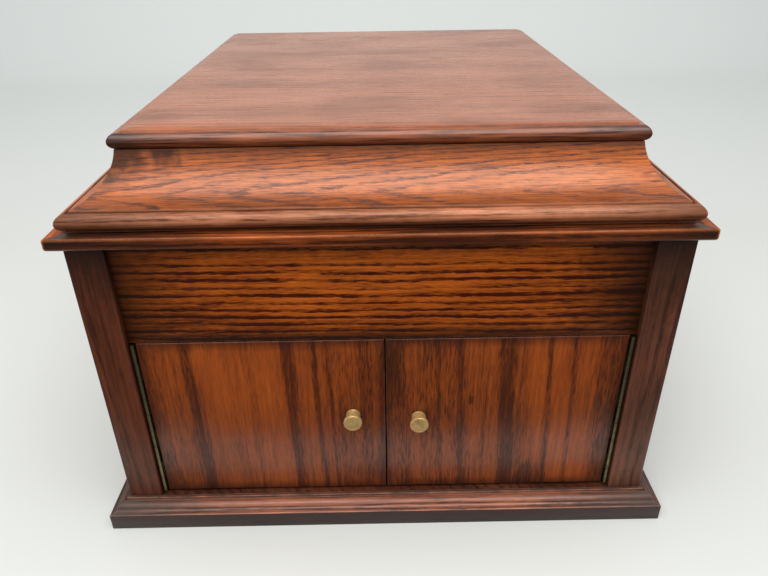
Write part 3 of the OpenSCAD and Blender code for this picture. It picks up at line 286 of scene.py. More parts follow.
def add_screw(bm, low, high, turn):
    """A slotted screw in a box. It stands along Z, or along X where its head is outside the right panel."""
    lying = high.x > STILE_BOX[1].x + 1 * MM
    axis, head = (X, 1 * MM) if lying else (Z, 1.2 * MM)
    radius, length = (high.y - low.y) / 2, (high - low).dot(axis)
    shank, dome, slot = radius * 0.5, head * 0.6, radius * 0.13
    profile = [(0, 0), (shank, 0), (shank, length - head), (radius, length - head), (radius, length - dome)]
    profile += arc((radius * 0.6, length - dome), (radius * 0.4, dome), 10, 90, 5) + [(0, length)]
    part = bmesh.new()
    add_turned(part, profile, (0, 0, 0), Z, 24)
    # The slot is a strip of the head between two cuts, sunk into it
    for side in (-1, 1):
        bmesh.ops.bisect_plane(
            part, geom=everything(part), dist=FLAT / 10, plane_co=(0, side * slot, 0), plane_no=Y)
    strip = []
    for face in part.faces:
        middle = face.calc_center_median()
        if face.normal.z > 0.5 and middle.z > length - 0.7 * head and abs(middle.y) < slot:
            strip.append(face)
    sunk = bmesh.ops.extrude_face_region(part, geom=strip)
    bmesh.ops.translate(part, vec=-0.45 * head * Z, verts=new_points(sunk))
    bmesh.ops.delete(part, geom=[f for f in strip if f.is_valid], context="FACES")
    stand = Matrix.Translation((low + high) / 2 - axis * length / 2)
    stand = stand @ Z.rotation_difference(axis).to_matrix().to_4x4() @ Matrix.Rotation(turn, 4, "Z")
    bmesh.ops.transform(part, matrix=stand, verts=part.verts)
    join(bm, part)


# Materials

def colour(text):
    """sRGB hex text as a linear colour."""
    channels = [int(text[i:i + 2], 16) / 255 for i in (1, 3, 5)]
    linear = [c / 12.92 if c <= 0.04045 else ((c + 0.055) / 1.055) ** 2.4 for c in channels]
    return (*linear, 1)


def feed(node, inputs):
    """Gives a node's inputs values, or links from other nodes and sockets. A list fills them in order."""
    for key, value in enumerate(inputs) if isinstance(inputs, list) else inputs.items():
        if isinstance(value, bpy.types.Node):
            value = next(socket for socket in value.outputs if socket.enabled)
        if isinstance(value, bpy.types.NodeSocket):
            node.id_data.links.new(value, node.inputs[key])
        else:
            node.inputs[key].default_value = value


def add_node(tree, kind, inputs=None, operation=None, stops=None, **settings):
    """Adds a shader node with its settings and links. stops holds a ramp's (position, grey) pairs."""
    made = tree.nodes.new("ShaderNode" + kind)
    if operation:
        made.operation = operation
    for key, value in settings.items():
        setattr(made, key, value)
    feed(made, inputs or {})
    if stops:
        ramp = made.color_ramp.elements
        ramp[0].position, ramp[1].position = stops[0][0], stops[-1][0]
        ramp[0].color, ramp[1].color = [(grey, grey, grey, 1) for grey in (stops[0][1], stops[-1][1])]
        for place, grey in stops[1:-1]:
            ramp.new(place).color = (grey, grey, grey, 1)
    return made


def blank(name, **fixed):
    """A material, its Principled shader and its own add_node.

    The fixed values stand on the shader's sockets."""
    material = bpy.data.materials.new(name)
    material.use_nodes = True
    shader = material.node_tree.nodes["Principled BSDF"]
    feed(shader, {key.replace("_", " "): value for key, value in fixed.items()})
    return material, shader, partial(add_node, material.node_tree)


def oak(name, light, dark, along=X, across=Z, middle=(0, 0, 0), seed=0.0, ring=7, vee=None, lean=0.0,
        depth=0.7, wobble=1.0, ragged=2.5, line=0.3, bands=None, knots=(), contrast=0.8, pores=0.5,
        fleck=(16, 0.95), streaks=0.22, streak=5.0, clouds=0.22, roughness=0.33, gloss=0.35,
        sheen="#ffffff", hollow_dirt_and_shade=0.35, spots=(), edge_dirt_and_shade=None, dirt_and_shade_colour="#1e120d", wear=0.5, worn_to=1.7,
        rub_width=1.6, even=0.15):
    """Stained and waxed oak: open pores that hold the stain as dark dashes, growth rings as lines or arches.

    The grain runs along one axis, and the rings follow one another across it, from middle. Lengths are
    in millimetres. ring is the rings' spacing, lean their slope along the grain, depth their slant through
    the board, wobble their waviness, and ragged the unevenness of their edges. vee folds them into nested
    arrowheads with tips of that radius. line is the dark lines' share of a ring. bands takes the place of
    even rings, with (place across the board, darkness). knots holds (along, across, length, width) of dark
    patches of the figure. contrast, pores, streaks and clouds say how much the rings, the pores, the long
    soft streaks and the broad patches darken the wood. fleck is the pores' length and width, two or three
    times the real 0.3 mm so that they show, and streak the streaks' width. gloss and sheen are the polish's
    strength and tint. patina is the darkening in the hollows, partly dirt and partly painted shade, and
    soil its colour. spots holds (place in metres, radius) of patches that wax and handling have darkened.
    edging holds two corners of the board, how far its ends and its long edges are darkened, partly by
    dirt and partly by painted shade, and how much. wear is how far the free edges have turned to a colour
    worn_to times as bright as the light wood, rub_width how far that reaches, and even how much of it runs
    all along the edge."""
    finish = bpy.context.scene.gramophone_finish
    light, dark = [[c * tint for c, tint in zip(colour(text), (*finish.stain, 1))] for text in (light, dark)]
    material, shader, add = blank(name, Specular_IOR_Level=gloss, Specular_Tint=colour(sheen))
    place = add("TexCoord").outputs["Object"]
    turned = Matrix((along, across, along.cross(across))).transposed().to_euler()
    space = add("Mapping", {"Vector": place, "Location": middle, "Rotation": turned}, vector_type="TEXTURE")
    u, v, w = add("SeparateXYZ", {"Vector": space}).outputs

    # Noise stretched along the grain: its size along and across in millimetres, its detail and its place
    grains = {}
    for key, size_u, size_v, detail, offset in (
            ("drift", 220, 38, 2, 3.1), ("ripple", 34, 7, 2, 7.7), ("fine", 9, 1.6, 2, 5.3),
            ("dashes", *fleck, 2, 11.3), ("stripe", 30 * streak, streak, 2, 23.9),
            ("broad", 120, 60, 3, 17.9), ("tatters", 8, 10, 3, 37.1), ("rub", 14, 14, 3, 31.7)):
        scale = [1 / (size * MM) for size in (size_u, size_v, size_v)]
        scaled = add("VectorMath", [space, scale, (seed + offset, seed * 1.7, offset)], "MULTIPLY_ADD")
        grains[key] = add("TexNoise", {"Vector": scaled, "Scale": 1.0, "Detail": detail, "Roughness": 0.55})

    # How far a point lies across the rings, bent and folded as the tree grew
    field = add("Math", [w, depth, v], "MULTIPLY_ADD")
    if vee:
        bend = 1.5 * ring * MM * wobble
        field = add("Math", [grains["drift"], bend, field], "MULTIPLY_ADD")
        field = add("Math", [field, field, (vee * MM) ** 2], "MULTIPLY_ADD")
        field = add("Math", [field], "SQRT")
    shift = 0.0
    bends = {"drift": 3.4 * ring * wobble, "ripple": 0.8 * ring * wobble, "fine": min(0.5 * ring, ragged)}
    for key, size in bends.items():
        field = add("Math", [grains[key], size * MM, field], "MULTIPLY_ADD")
        shift += size / 2
    field = add("Math", [u, lean, field], "MULTIPLY_ADD")
    reach = bands[-1][0] if bands else ring
    field = add("Math", [field, 1 / (reach * MM), -shift / reach], "MULTIPLY_ADD")
    if bands:
        early = add("ValToRGB", [field], stops=[(at / reach, grey) for at, grey in bands])
    else:
        turn = add("Math", [field], "FRACT")
        stops = [(0.0, 1.0), (line * 0.6, 0.9), (line * 1.3, 0.15), (0.9, 0.0), (1.0, 1.0)]
        early = add("ValToRGB", [turn], stops=stops)
        each = add("TexNoise", {"W": field, "Scale": 0.37, "Detail": 1.0}, noise_dimensions="1D")
        # The dark lines differ in strength, and break off here and there
        for uneven, stops in (
                (each, [(0.34, 0.2), (0.58, 1.0)]), (grains["ripple"], [(0.36, 0.4), (0.56, 1.0)])):
            uneven = add("ValToRGB", [uneven], stops=stops)
            early = add("Math", [early, uneven], "MULTIPLY")
    for at_u, at_v, long, wide in knots:
        scale = (1 / (long * MM), 1 / (wide * MM), 0)
        near = add("VectorMath", [space, scale, (-at_u / long, -at_v / wide, 0)], "MULTIPLY_ADD")
        near = add("VectorMath", [near], "LENGTH")
        near = add("Math", [near, 0.5], "MULTIPLY")
        near = add("Math", [grains["fine"], 0.7, near], "MULTIPLY_ADD")
        near = add("ValToRGB", [near], stops=[(0.5, 0.6), (0.9, 0.0)])
        early = add("Math", [early, near], "MAXIMUM")

    dashes = add("ValToRGB", [grains["dashes"]], stops=[(0.47, 0.0), (0.62, 1.0)])
    inked = add("Math", [early, 0.75, 0.25], "MULTIPLY_ADD")
    dashes = add("Math", [dashes, inked], "MULTIPLY")
    broad = add("ValToRGB", [grains["broad"]], stops=[(0.36, 0.0), (0.66, 1.0)])
    stripe = add("ValToRGB", [grains["stripe"]], stops=[(0.4, 0.0), (0.64, 1.0)])
    mask = add("Math", [early, contrast], "MULTIPLY")
    for part, amount in ((dashes, pores), (stripe, streaks), (broad, clouds)):
        mask = add("Math", [part, amount, mask], "MULTIPLY_ADD", use_clamp=True)
    wood = add("Mix", {"Factor": mask, "A": light, "B": dark}, data_type="RGBA")

    # Wax and dust, and painted shade, darken what lies near the corners and in the hollows
    hollow = add("AmbientOcclusion", {"Distance": 9 * MM}, samples=6).outputs["AO"]
    dirt_and_shade = add("ValToRGB", [hollow], stops=[(0.35, 1.0), (0.95, 0.0)])
    uneven = add("Math", [broad, 0.4, hollow_dirt_and_shade], "MULTIPLY_ADD")
    dirt_and_shade = add("Math", [dirt_and_shade, uneven], "MULTIPLY")
    for spot, radius in spots:
        away = add("VectorMath", [place, spot], "DISTANCE")
        away = add("Math", [away, 1 / (radius * MM)], "MULTIPLY")
        away = add("Math", [grains["tatters"], -1.4, away], "MULTIPLY_ADD")
        patch = add("ValToRGB", [away], stops=[(0.0, 0.8), (0.65, 0.0)])
        dirt_and_shade = add("Math", [dirt_and_shade, patch], "MAXIMUM")
    # Painted shade, and dirt, darken the board's ends and long edges
    if edge_dirt_and_shade:
        low, high, ends, sides, amount = edge_dirt_and_shade
        spread = add("Math", [grains["tatters"], 1.3, 0.35], "MULTIPLY_ADD")
        for axis, fade in ((along, ends), (across, sides)):
            near = add("VectorMath", [place, axis], "DOT_PRODUCT")
            near = add("Math", [near, (low + high).dot(axis) / 2], "SUBTRACT")
            near = add("Math", [near], "ABSOLUTE")
            near = add("Math", [abs((high - low).dot(axis)) / 2, near], "SUBTRACT")
            near = add("Math", [near, 1 / (fade * MM)], "MULTIPLY")
            near = add("Math", [near, spread], "DIVIDE")
            near = add("ValToRGB", [near], stops=[(0.0, amount), (1.0, 0.0)])
            dirt_and_shade = add("Math", [dirt_and_shade, near], "MAXIMUM")
    wood = add("Mix", {"Factor": dirt_and_shade, "A": wood, "B": colour(dirt_and_shade_colour)}, data_type="RGBA")

    # Hands and polishing have worn the edges that stand free
    rounded = add("Bevel", {"Radius": rub_width * MM}, samples=6)
    straight = add("NewGeometry").outputs["Normal"]
    edge = add("VectorMath", [rounded, straight], "DOT_PRODUCT")
    edge = add("ValToRGB", [edge], stops=[(0.86, wear * finish.wear), (0.985, 0.0)])
    rub = add("ValToRGB", [grains["rub"]], stops=[(0.42, even), (0.62, 1.0)])
    free = add("ValToRGB", [hollow], stops=[(0.4, 0.0), (0.58, 1.0)])
    for part in (rub, free):
        edge = add("Math", [edge, part], "MULTIPLY")
    pale = [min(1.0, c * worn_to + 0.02) for c in light[:3]] + [1]
    wood = add("Mix", {"Factor": edge, "A": wood, "B": pale}, data_type="RGBA")

    # The pores and the soft wood lie lower, and the wax is dull in them
    dull = add("Math", [broad, 0.08, roughness], "MULTIPLY_ADD")
    dull = add("Math", [dashes, 0.16, dull], "MULTIPLY_ADD")
    sunk = add("Math", [early, -0.35], "MULTIPLY")
    sunk = add("Math", [sunk, dashes], "SUBTRACT")
    relief = add("Bump", {"Strength": 0.35, "Distance": 0.18 * MM, "Height": sunk})
    feed(shader, {"Base Color": wood, "Roughness": dull, "Normal": relief})
    return material


def metal(name, base, tarnish, roughness, amount=0.5, grain=6.0, bump=0.15, metallic=1.0, rubbed_and_lit_side=None):
    """A metal whose polish has dulled unevenly: clean where it is handled, dark in the hollows.

    rubbed is the side that sleeves and polishing have kept bright, and its brightness is partly a painted
    highlight: the rest of the surface is tarnished."""
    material, shader, add = blank(name, Metallic=metallic)
    place = add("TexCoord").outputs["Object"]
    cloud = add("TexNoise", {"Vector": place, "Scale": 1 / (grain * MM), "Detail": 4.0, "Roughness": 0.62})
    spots = add("TexNoise", {"Vector": place, "Scale": 1 / (0.9 * MM), "Detail": 2.0, "Roughness": 0.5})
    mask = add("ValToRGB", [cloud], stops=[(0.38, 0.0), (0.68, amount)])
    if rubbed_and_lit_side:
        straight = add("NewGeometry").outputs["Normal"]
        facing = add("VectorMath", [straight, rubbed_and_lit_side], "DOT_PRODUCT")
        facing = add("ValToRGB", [facing], stops=[(0.62, 1.0), (0.9, 0.0)])
        mask = add("Math", [mask, facing], "MAXIMUM")
    shade = add("Mix", {"Factor": mask, "A": colour(base), "B": colour(tarnish)}, data_type="RGBA")
    hollow = add("AmbientOcclusion", {"Distance": 2.5 * MM}, samples=6).outputs["AO"]
    dirt = add("ValToRGB", [hollow], stops=[(0.3, 0.75), (0.9, 0.0)])
    shade = add("Mix", {"Factor": dirt, "A": shade, "B": colour("#17120c")}, data_type="RGBA")
    rough = add("Math", [mask, 0.3, roughness], "MULTIPLY_ADD")
    relief = add("Bump", {"Strength": bump, "Distance": 0.05 * MM, "Height": spots})
    feed(shader, {"Base Color": shade, "Roughness": rough, "Normal": relief})
    return material


def soft_stuff(name, base, dark, fibre, roughness=0.95, sheen=0.3, height=0.25):
    """A matt felt or rubber. fibre is the size of its nap or grain, and height its relief.

    Both are in millimetres, and coarser than the real nap's 0.3 mm, so that it shows."""
    material, shader, add = blank(name, Sheen_Weight=sheen, Roughness=roughness)
    place = add("TexCoord").outputs["Object"]
    nap = add("TexNoise", {"Vector": place, "Scale": 1 / (fibre * MM), "Detail": 4.0, "Roughness": 0.7})
    worn = add("TexNoise", {"Vector": place, "Scale": 1 / (30 * MM), "Detail": 3.0})
    both = add("Math", [nap, 0.6, worn], "MULTIPLY_ADD")
    mask = add("ValToRGB", [both], stops=[(0.55, 0.0), (1.0, 1.0)])
    shade = add("Mix", {"Factor": mask, "A": colour(base), "B": colour(dark)}, data_type="RGBA")
    relief = add("Bump", {"Strength": 0.6, "Distance": height * MM, "Height": nap})
    feed(shader, {"Base Color": shade, "Normal": relief})
    return material


def dress(material, nodes):
    """Gives CAD nodes, named in one text, a material."""
    for node in nodes.split():
        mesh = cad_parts[node].data
        mesh.materials.clear()
        mesh.materials.append(material)


# Pieces

class CaseOperator(bpy.types.Operator):
    """Stiles, panels, fascia, plinth and cornice"""
    bl_idname = "gramophone.case"
    bl_label = "Case"

    def execute(self, context):
        case = context.scene.gramophone_case
        edge = case.soft_edge
        w, d, n = case.width, case.depth, case.arc_steps
        fascia_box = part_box("fascia_panel")
        # Quartered oak: straight dark lines on a warm orange-brown, under wax that has grown dull
        # Its ends and long edges are darkened: along the top edge this is a painted shadow of the cornice
        fascia = oak(
            "Stained oak, quartered fascia board", "#c8641f", "#3f130a", middle=(0.03, 0, 0.2), ring=5.8,
            lean=0.012, contrast=0.95, wobble=0.34, seed=1.3, gloss=0.3, pores=1.0, line=0.34, clouds=0.45,
            sheen="#ffdcc0", streak=2.0, fleck=(8, 0.7), streaks=0.35, ragged=3.5,
            edge_dirt_and_shade=(*fascia_box, 65, 13, 0.92))
        # An old dark stain: soft streaks up the stiles, with a low gloss
        stiles = [oak(
            "Dark stained oak, %s stile" % side, light, dark, along=Z, across=X, middle=(0.19, -0.245, 0.1),
            ring=9, lean=lean, contrast=0.5, wobble=0.4, seed=seed, roughness=0.3, sheen="#fff0e4",
            streaks=0.35, streak=3, clouds=0.4, pores=0.7, fleck=(10, 0.9),
            edge_dirt_and_shade=(STILE_BOX[0] - Z, STILE_BOX[1], dark_end, 1, 0.88))
            for side, light, dark, lean, seed, dark_end in (
                ("left", "#6d3a25", "#37190f", 0.02, 4.1, 45),
                ("right", "#7b4935", "#43281e", -0.03, 6.9, 90))]
        # Flat-sawn boards: nested arches of grain
        side = oak(
            "Stained oak, side panels", "#85401f", "#3a170b", along=Y, middle=(0.2, 0.02, 0.12), ring=11,
            vee=8, lean=-0.12, contrast=0.6, seed=8.3)
        back = oak(
            "Stained oak, back panel", "#6e3920", "#33170d", middle=(0.02, 0.24, 0.13), ring=10, vee=8,
            lean=-0.1, contrast=0.6, seed=2.9, roughness=0.5)
        # Mouldings: the roll catches the light along its crown, and its edges are worn pale. The face below,
        # with next to no figure, is painted dark as shade, and the roll's sides are painted darker as shade
        # too
        rolled = dict(
            ring=3.6, contrast=0.6, wobble=0.5, wear=0.9, hollow_dirt_and_shade=0.5, roughness=0.28, streaks=0.5, streak=1.6)
        faced = dict(ring=5, contrast=0.35, wobble=0.5, hollow_dirt_and_shade=0.4, roughness=0.35)
        plinth = [
            oak("Stained oak, plinth's roll, front", "#ad674a", "#45241a", seed=5.5, gloss=0.7,
                edge_dirt_and_shade=(*PLINTH_BOX, 120, 1, 1.0), dirt_and_shade_colour="#43362f", **rolled),
            oak("Stained oak in painted shade, plinth's roll, sides", "#64473a", "#2e201b", along=Y, seed=6.5, gloss=0.5,
                **rolled),
            oak("Oak in painted shade, plinth's face, front", "#36231e", "#261814", seed=7.5, wear=0.6, **faced),
            oak("Oak in painted shade, plinth's face, sides", "#452c25", "#2b1b16", along=Y, seed=9.1, wear=0.7, **faced)]
        # The cornice's edges are rubbed almost bare of stain
        shelf = dict(ring=4.2, contrast=0.5, wobble=0.4, hollow_dirt_and_shade=0.05, gloss=0.5, worn_to=3, rub_width=2.6)
        cornice = [
            oak("Stained oak, cornice along the front", "#a95222", "#3c180b", seed=9.5, wear=1.0,
                clouds=0.75, sheen="#ffe0c8", streaks=0.4, streak=2, even=0.7,
                edge_dirt_and_shade=(CORNICE_BOX[0] - Z, CORNICE_BOX[1] + Z, 120, 1, 0.92), **shelf),
            oak("Stained oak, cornice along the sides", "#a95222", "#3c180b", along=Y, seed=10.5, wear=0.4,
                clouds=0.6, **shelf)]

        bm = bmesh.new()
        low, high = STILE_BOX
        for sign in (-1, 1):
            near, far = sorted((sign * abs(low.x), sign * fascia_box[1].x))
            add_board(bm, (near, low.y, low.z), (far, high.y, high.z), edge)
        for face in bm.faces:
            face.material_index = int(face.calc_center_median().x > 0)
        finish_piece(bm, "stiles", "case", stiles, "front_stiles")

        bm = bmesh.new()
        add_board(bm, *fascia_box, edge * 0.5)
        finish_piece(bm, "fascia", "case", [fascia], "fascia_panel")

        # Plinth: a flat face, a hollow behind its lip, a roll, and a fillet against the case
        bm = bmesh.new()
        out, top = PLINTH_BOX[1].x - w / 2, PLINTH_BOX[1].z
        face_top, lip = 14 * MM, 0.9 * MM
        roll_low = face_top + 2.6 * MM
        roll = (out * 0.4, top - 1.7 * MM - roll_low)
        fillet, fillet_low, quirk = 2.6 * MM, top - 2.5 * MM, 1 * MM
        hollow = (out - lip - fillet - quirk - roll[0], 2.1 * MM)
        profile = [(0.0, 0.0), (out, 0.0), (out, face_top)]
        profile += arc((out - lip, roll_low), hollow, 270, 180, n // 2)
        profile += arc((fillet + quirk, roll_low), roll, 8, 90, n)
        profile += [(fillet + quirk / 2, fillet_low), (fillet, fillet_low), (fillet, top), (0.0, top)]
        add_mitred_frame(bm, profile, w, d, 0.35 * MM)
        for face in bm.faces:
            if face.calc_center_median().z < face_top - 0.4 * MM:
                face.material_index += 2
        finish_piece(bm, "plinth", "case", plinth, "plinth_moulding")

        # Cornice: a shelf with rounded edges round the front and the sides, flush with the back panel
        bm = bmesh.new()
        out, low_z, top = CORNICE_BOX[1].x - w / 2, CORNICE_BOX[0].z, CORNICE_BOX[1].z
        inside, lower, upper = -12 * MM, 2.2 * MM, 1.3 * MM
        profile = [(inside, low_z)]
        profile += arc((out - lower, low_z + lower), (lower, lower), 270, 360, n // 2)
        profile += arc((out - upper, top - upper), (upper, upper), 0, 90, n // 2)
        profile += [(inside, top)]
        add_mitred_frame(bm, profile, w, d, 0.4 * MM)
        cut_off(bm, (0, BACK_BOX[1].y, 0), Y)
        rails = finish_piece(bm, "cornice", "case", cornice, "cornice_frame")
        cut_pockets(rails, top - LEAF_THICKNESS, top + 1 * MM)

        dress(side, "side_left side_right")
        dress(back, "back_panel")
        dress(stiles[0], "base_board")
        return {"FINISHED"}


class DoorsOperator(bpy.types.Operator):
    """Doors with their knobs, and the piano hinges"""
    bl_idname = "gramophone.doors"
    bl_label = "Doors"

    def execute(self, context):
        case = context.scene.gramophone_case
        # The figure's bands, in millimetres from the line where the doors meet, and how dark each is
        left_bands = [
            (0, 0.6), (7.5, 0.3), (11, 0.7), (17, 0.75), (20, 0.4), (33, 0.45), (37, 0.3), (39.5, 0.8),
            (41.5, 0.35), (47, 0.3), (49, 0.9), (51.5, 0.4), (54, 0.08), (62, 0.18), (66.5, 0.6), (71.5, 0.9),
            (73.5, 0.2), (77, 0.06), (93, 0.15), (99, 0.3), (103, 0.1), (113, 0.27), (117, 0.05), (134, 0.1),
            (138, 0.4), (140, 0.95), (144.5, 0.65), (146.5, 0.3), (153, 0.2), (165, 0.38), (177, 0.5),
            (187, 0.6)]
        right_bands = [
            (0, 0.5), (3, 0.35), (8, 0.5), (10, 0.65), (16, 0.65), (19, 0.25), (31, 0.35), (38, 0.4),
            (40.5, 0.85), (43, 0.35), (52, 0.4), (57, 0.8), (60, 0.3), (67.5, 0.2), (73, 0.3), (78, 0.15),
            (84, 0.25), (87.5, 0.75), (95, 0.75), (98, 0.25), (103, 0.35), (108, 0.12), (117, 0.02),
            (122.5, 0.7), (125.5, 0.06), (136, 0.1), (139, 0.55), (142, 0.12), (156, 0.15), (158.5, 0.55),
            (170, 0.45), (187, 0.6)]
        # Turned brass: bright where fingers rub it, and brown in the neck
        brass = metal(
            "Turned brass, handled", "#e4bd7d", "#a8834a", 0.42, amount=0.75, grain=4, metallic=0.55)

        # Knob: a stem in the door, a foot, a waisted neck and a head with a rim round its flat face
        low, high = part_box("knob_left")
        face_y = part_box("door_left")[0].y
        radius, length = (high.x - low.x) / 2, face_y - low.y
        foot, rim = radius * 0.78, (0.7 * MM, 1.2 * MM)
        stem, stem_reach = 2 * MM, 11 * MM
        neck, dish = (length - 2.8 * MM) / 2, length - 0.35 * MM
        profile = [(0.0, -stem_reach), (stem, -stem_reach), (stem, 0.0)]
        profile += [(foot, 0.0), (foot, 0.8 * MM), (radius * 0.75, 1.1 * MM)]
        profile += arc((radius * 0.77, neck), (radius * 0.03, neck - 1.2 * MM), 270, 90, case.arc_steps)
        profile += [(foot, length - 4 * MM), (radius * 0.96, length - 3.3 * MM)]
        profile += arc((radius - rim[0], length - rim[1]), rim, 0, 90, 6)
        profile += [(radius * 0.8, dish), (radius * 0.76, length - 0.5 * MM)]
        profile += [(radius * 0.5, dish), (0.0, length - 0.3 * MM)]

        # Flat-sawn oak under wax: light and dark bands run up each door, under an even gloss
        for side, across, inner, light, dark, figure in (
                ("left", -X, 1, "#a75120", "#4a200f", dict(
                    lean=-0.02, contrast=0.7, wobble=0.05, ragged=1.8, seed=13.1, clouds=0.38,
                    bands=left_bands)),
                ("right", X, 0, "#ac5320", "#46200f", dict(
                    lean=0.045, contrast=0.72, wobble=0.06, ragged=2.4, seed=15.7, clouds=0.36,
                    bands=right_bands, knots=[(-58, 110, 20, 15), (4, 34, 36, 20), (20, 63, 6, 4)]))):
            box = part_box("door_" + side)
            wood = oak(
                "Stained oak, %s door" % side, light, dark, along=Z, across=across,
                middle=(box[inner].x, box[0].y, 0.09), ring=20, depth=0.0, pores=0.7, fleck=(10, 0.65),
                streak=2.5, roughness=0.22, gloss=0.5, edge_dirt_and_shade=(*box, 9, 13, 0.7), **figure)
            bm = bmesh.new()
            add_board(bm, *box, 0.7 * MM)
            finish_piece(bm, side + "_door_panel", side + "_door", [wood], "door_" + side)
        for side in ("left", "right"):
            low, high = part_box("knob_" + side)
            bm = bmesh.new()
            add_turned(
                bm, profile, ((low.x + high.x) / 2, face_y, (low.z + high.z) / 2), -Y, case.turned_steps)
            finish_piece(bm, side + "_knob", side + "_door", [brass], "knob_" + side, smooth=40)

        # Rolled brass: grey-brown with age, and bright on the front alone, with wear and a painted highlight
        old = metal(
            "Tarnished brass, piano hinges", "#a89c74", "#303026", 0.4, amount=0.6, grain=5, rubbed_and_lit_side=-Y)
        dress(old, "hinge_fixed_leaves door_leaf_left door_leaf_right hinge_pins")
        return {"FINISHED"}


class LidOperator(bpy.types.Operator):
    """Lid: lower moulding, cove and top board"""
    bl_idname = "gramophone.lid"
    bl_label = "Lid"

    def execute(self, context):
        case = context.scene.gramophone_case
        w, d, n = case.width, case.depth, case.arc_steps
        # High polish over a cut across the grain: short slanting flames
        # The front darkens along its edges and ends, along the top as a painted shadow of the top board's
        # nose
        # The sides are painted darker than the front, as shade
        cove = [
            oak("Stained oak, cove along the front", "#c76a30", "#5e2e22", middle=(-0.01, -0.23, 0.272),
                ring=3.2, vee=0.6, lean=-0.065, contrast=0.52, wobble=0.7, depth=0.15, fleck=(8, 0.6),
                pores=1.0, seed=21.1, wear=0.1, roughness=0.24, gloss=0.7, sheen="#fff1e2", line=0.24,
                clouds=0.2, edge_dirt_and_shade=(*COVE_BOX, 12, 9, 0.55), streaks=0.45, streak=1.0,
                spots=[((-0.172, -0.21, 0.299), 22), ((-0.14, -0.211, 0.301), 14)]),
            oak("Stained oak in painted shade, cove along the sides", "#a85f34", "#5c2d20", along=Y,
                middle=(0, 0.03, 0.268), ring=3.4, vee=0.8, lean=-0.11, contrast=0.5, wobble=0.3, seed=22.7,
                wear=0.3, gloss=0.7, roughness=0.28, line=0.22, streaks=0.35, streak=1.4)]
        # Fine lines along a roll that catches the light, browned at its ends
        rolled = dict(ring=4, wobble=0.4, hollow_dirt_and_shade=0.5, roughness=0.26, gloss=0.6, streak=1.6, sheen="#ffe0cc")
        rim = [
            oak("Stained oak, lid's lower moulding, front", "#c27b57", "#54260f", contrast=0.32, seed=25.3,
                wear=0.35, pores=0.6, clouds=0.4, streaks=0.28,
                edge_dirt_and_shade=(RIM_BOX[0] - Z, RIM_BOX[1] + Z, 110, 1, 0.6), **rolled),
            oak("Stained oak, lid's lower moulding, sides", "#bc6c42", "#4c1f10", along=Y, contrast=0.5,
                seed=26.3, wear=0.8, pores=0.8, clouds=0.45, streaks=0.5, **rolled)]
        # The highest polish of all: the light from above hides most of the figure
        top = [
            oak("Stained oak, top board", "#ab613b", "#6c3b24", across=Y, middle=(0.02, -0.02, 0.3),
                lean=0.03, contrast=0.3, wobble=0.6, pores=0.45, seed=31.9, wear=0.6, roughness=0.22,
                gloss=0.75, streaks=0.28, streak=3, clouds=0.45, hollow_dirt_and_shade=0.6,
                knots=[(-160, 66, 32, 1.3), (-180, -145, 44, 20), (131, -157, 60, 15)]),
            oak("Stained oak, top board's end edges", "#864529", "#4c2416", along=Y, ring=5,
                contrast=0.4, wobble=0.5, seed=33.9, wear=0.6, roughness=0.36),
            oak("Stained oak, top board's front edge", "#a35c3a", "#3f1d12", ring=5,
                contrast=0.5, wobble=0.5, seed=35.3, wear=0.9, roughness=0.26, gloss=0.6, hollow_dirt_and_shade=0.5,
                clouds=0.6, pores=0.7, streaks=0.5, streak=1.6,
                edge_dirt_and_shade=(TOP_BOX[0], TOP_BOX[1] + Z, 30, 3.6, 0.75))]

        # Lower moulding: a half-round nose, and a step up to the foot of the cove
        bm = bmesh.new()
        low_z, high_z = RIM_BOX[0].z, RIM_BOX[1].z
        out = RIM_BOX[1].x - w / 2
        inside, rebate, step, crown = -18 * MM, -2.4 * MM, 2.6 * MM, 0.5 * MM
        foot_in, head_in = 6.5 * MM, 33.1 * MM
        nose = (foot_in + out - 1.2 * MM, (high_z - low_z) / 2 - 0.45 * MM)
        profile = [(inside, low_z), (rebate, low_z)]
        profile += arc((out - nose[0], high_z - crown - nose[1]), nose, -78, 80, n)
        profile += [(-foot_in + 1.5 * MM, high_z - step), (-foot_in, high_z - step)]
        profile += [(-foot_in, high_z), (inside, high_z)]
        add_mitred_frame(bm, profile, w, d, 0.3 * MM)
        cut_off(bm, (0, BACK_BOX[1].y, 0), Y)
        moulding = finish_piece(bm, "lid_lower_moulding", "lid", rim, "lid_rim")
        cut_pockets(moulding, low_z - 1 * MM, low_z + LEAF_THICKNESS)

        # Cove: a hollow arc from its foot on the lower moulding to its head under the top board
        foot, head = Vector((-foot_in, COVE_BOX[0].z)), Vector((-head_in, COVE_BOX[1].z))
        radius, stock = 38.7 * MM, 14 * MM
        span = head - foot
        turn = math.asin(span.length / 2 / radius)
        lean = math.atan2(span.y, span.x)
        middle = (foot + head) / 2 + radius * math.cos(turn) * Vector((math.sin(lean), -math.cos(lean)))
        start = math.degrees(math.atan2(foot.y - middle.y, foot.x - middle.x))
        profile = arc(middle, (radius, radius), start, start - 2 * math.degrees(turn), 2 * n)
        profile += [(head.x - stock, head.y), (foot.x - stock, foot.y)]
        bm = bmesh.new()
        add_mitred_frame(bm, profile, w, d, 0.2 * MM)
        finish_piece(bm, "lid_cove_moulding", "lid", cove, "lid_cove")

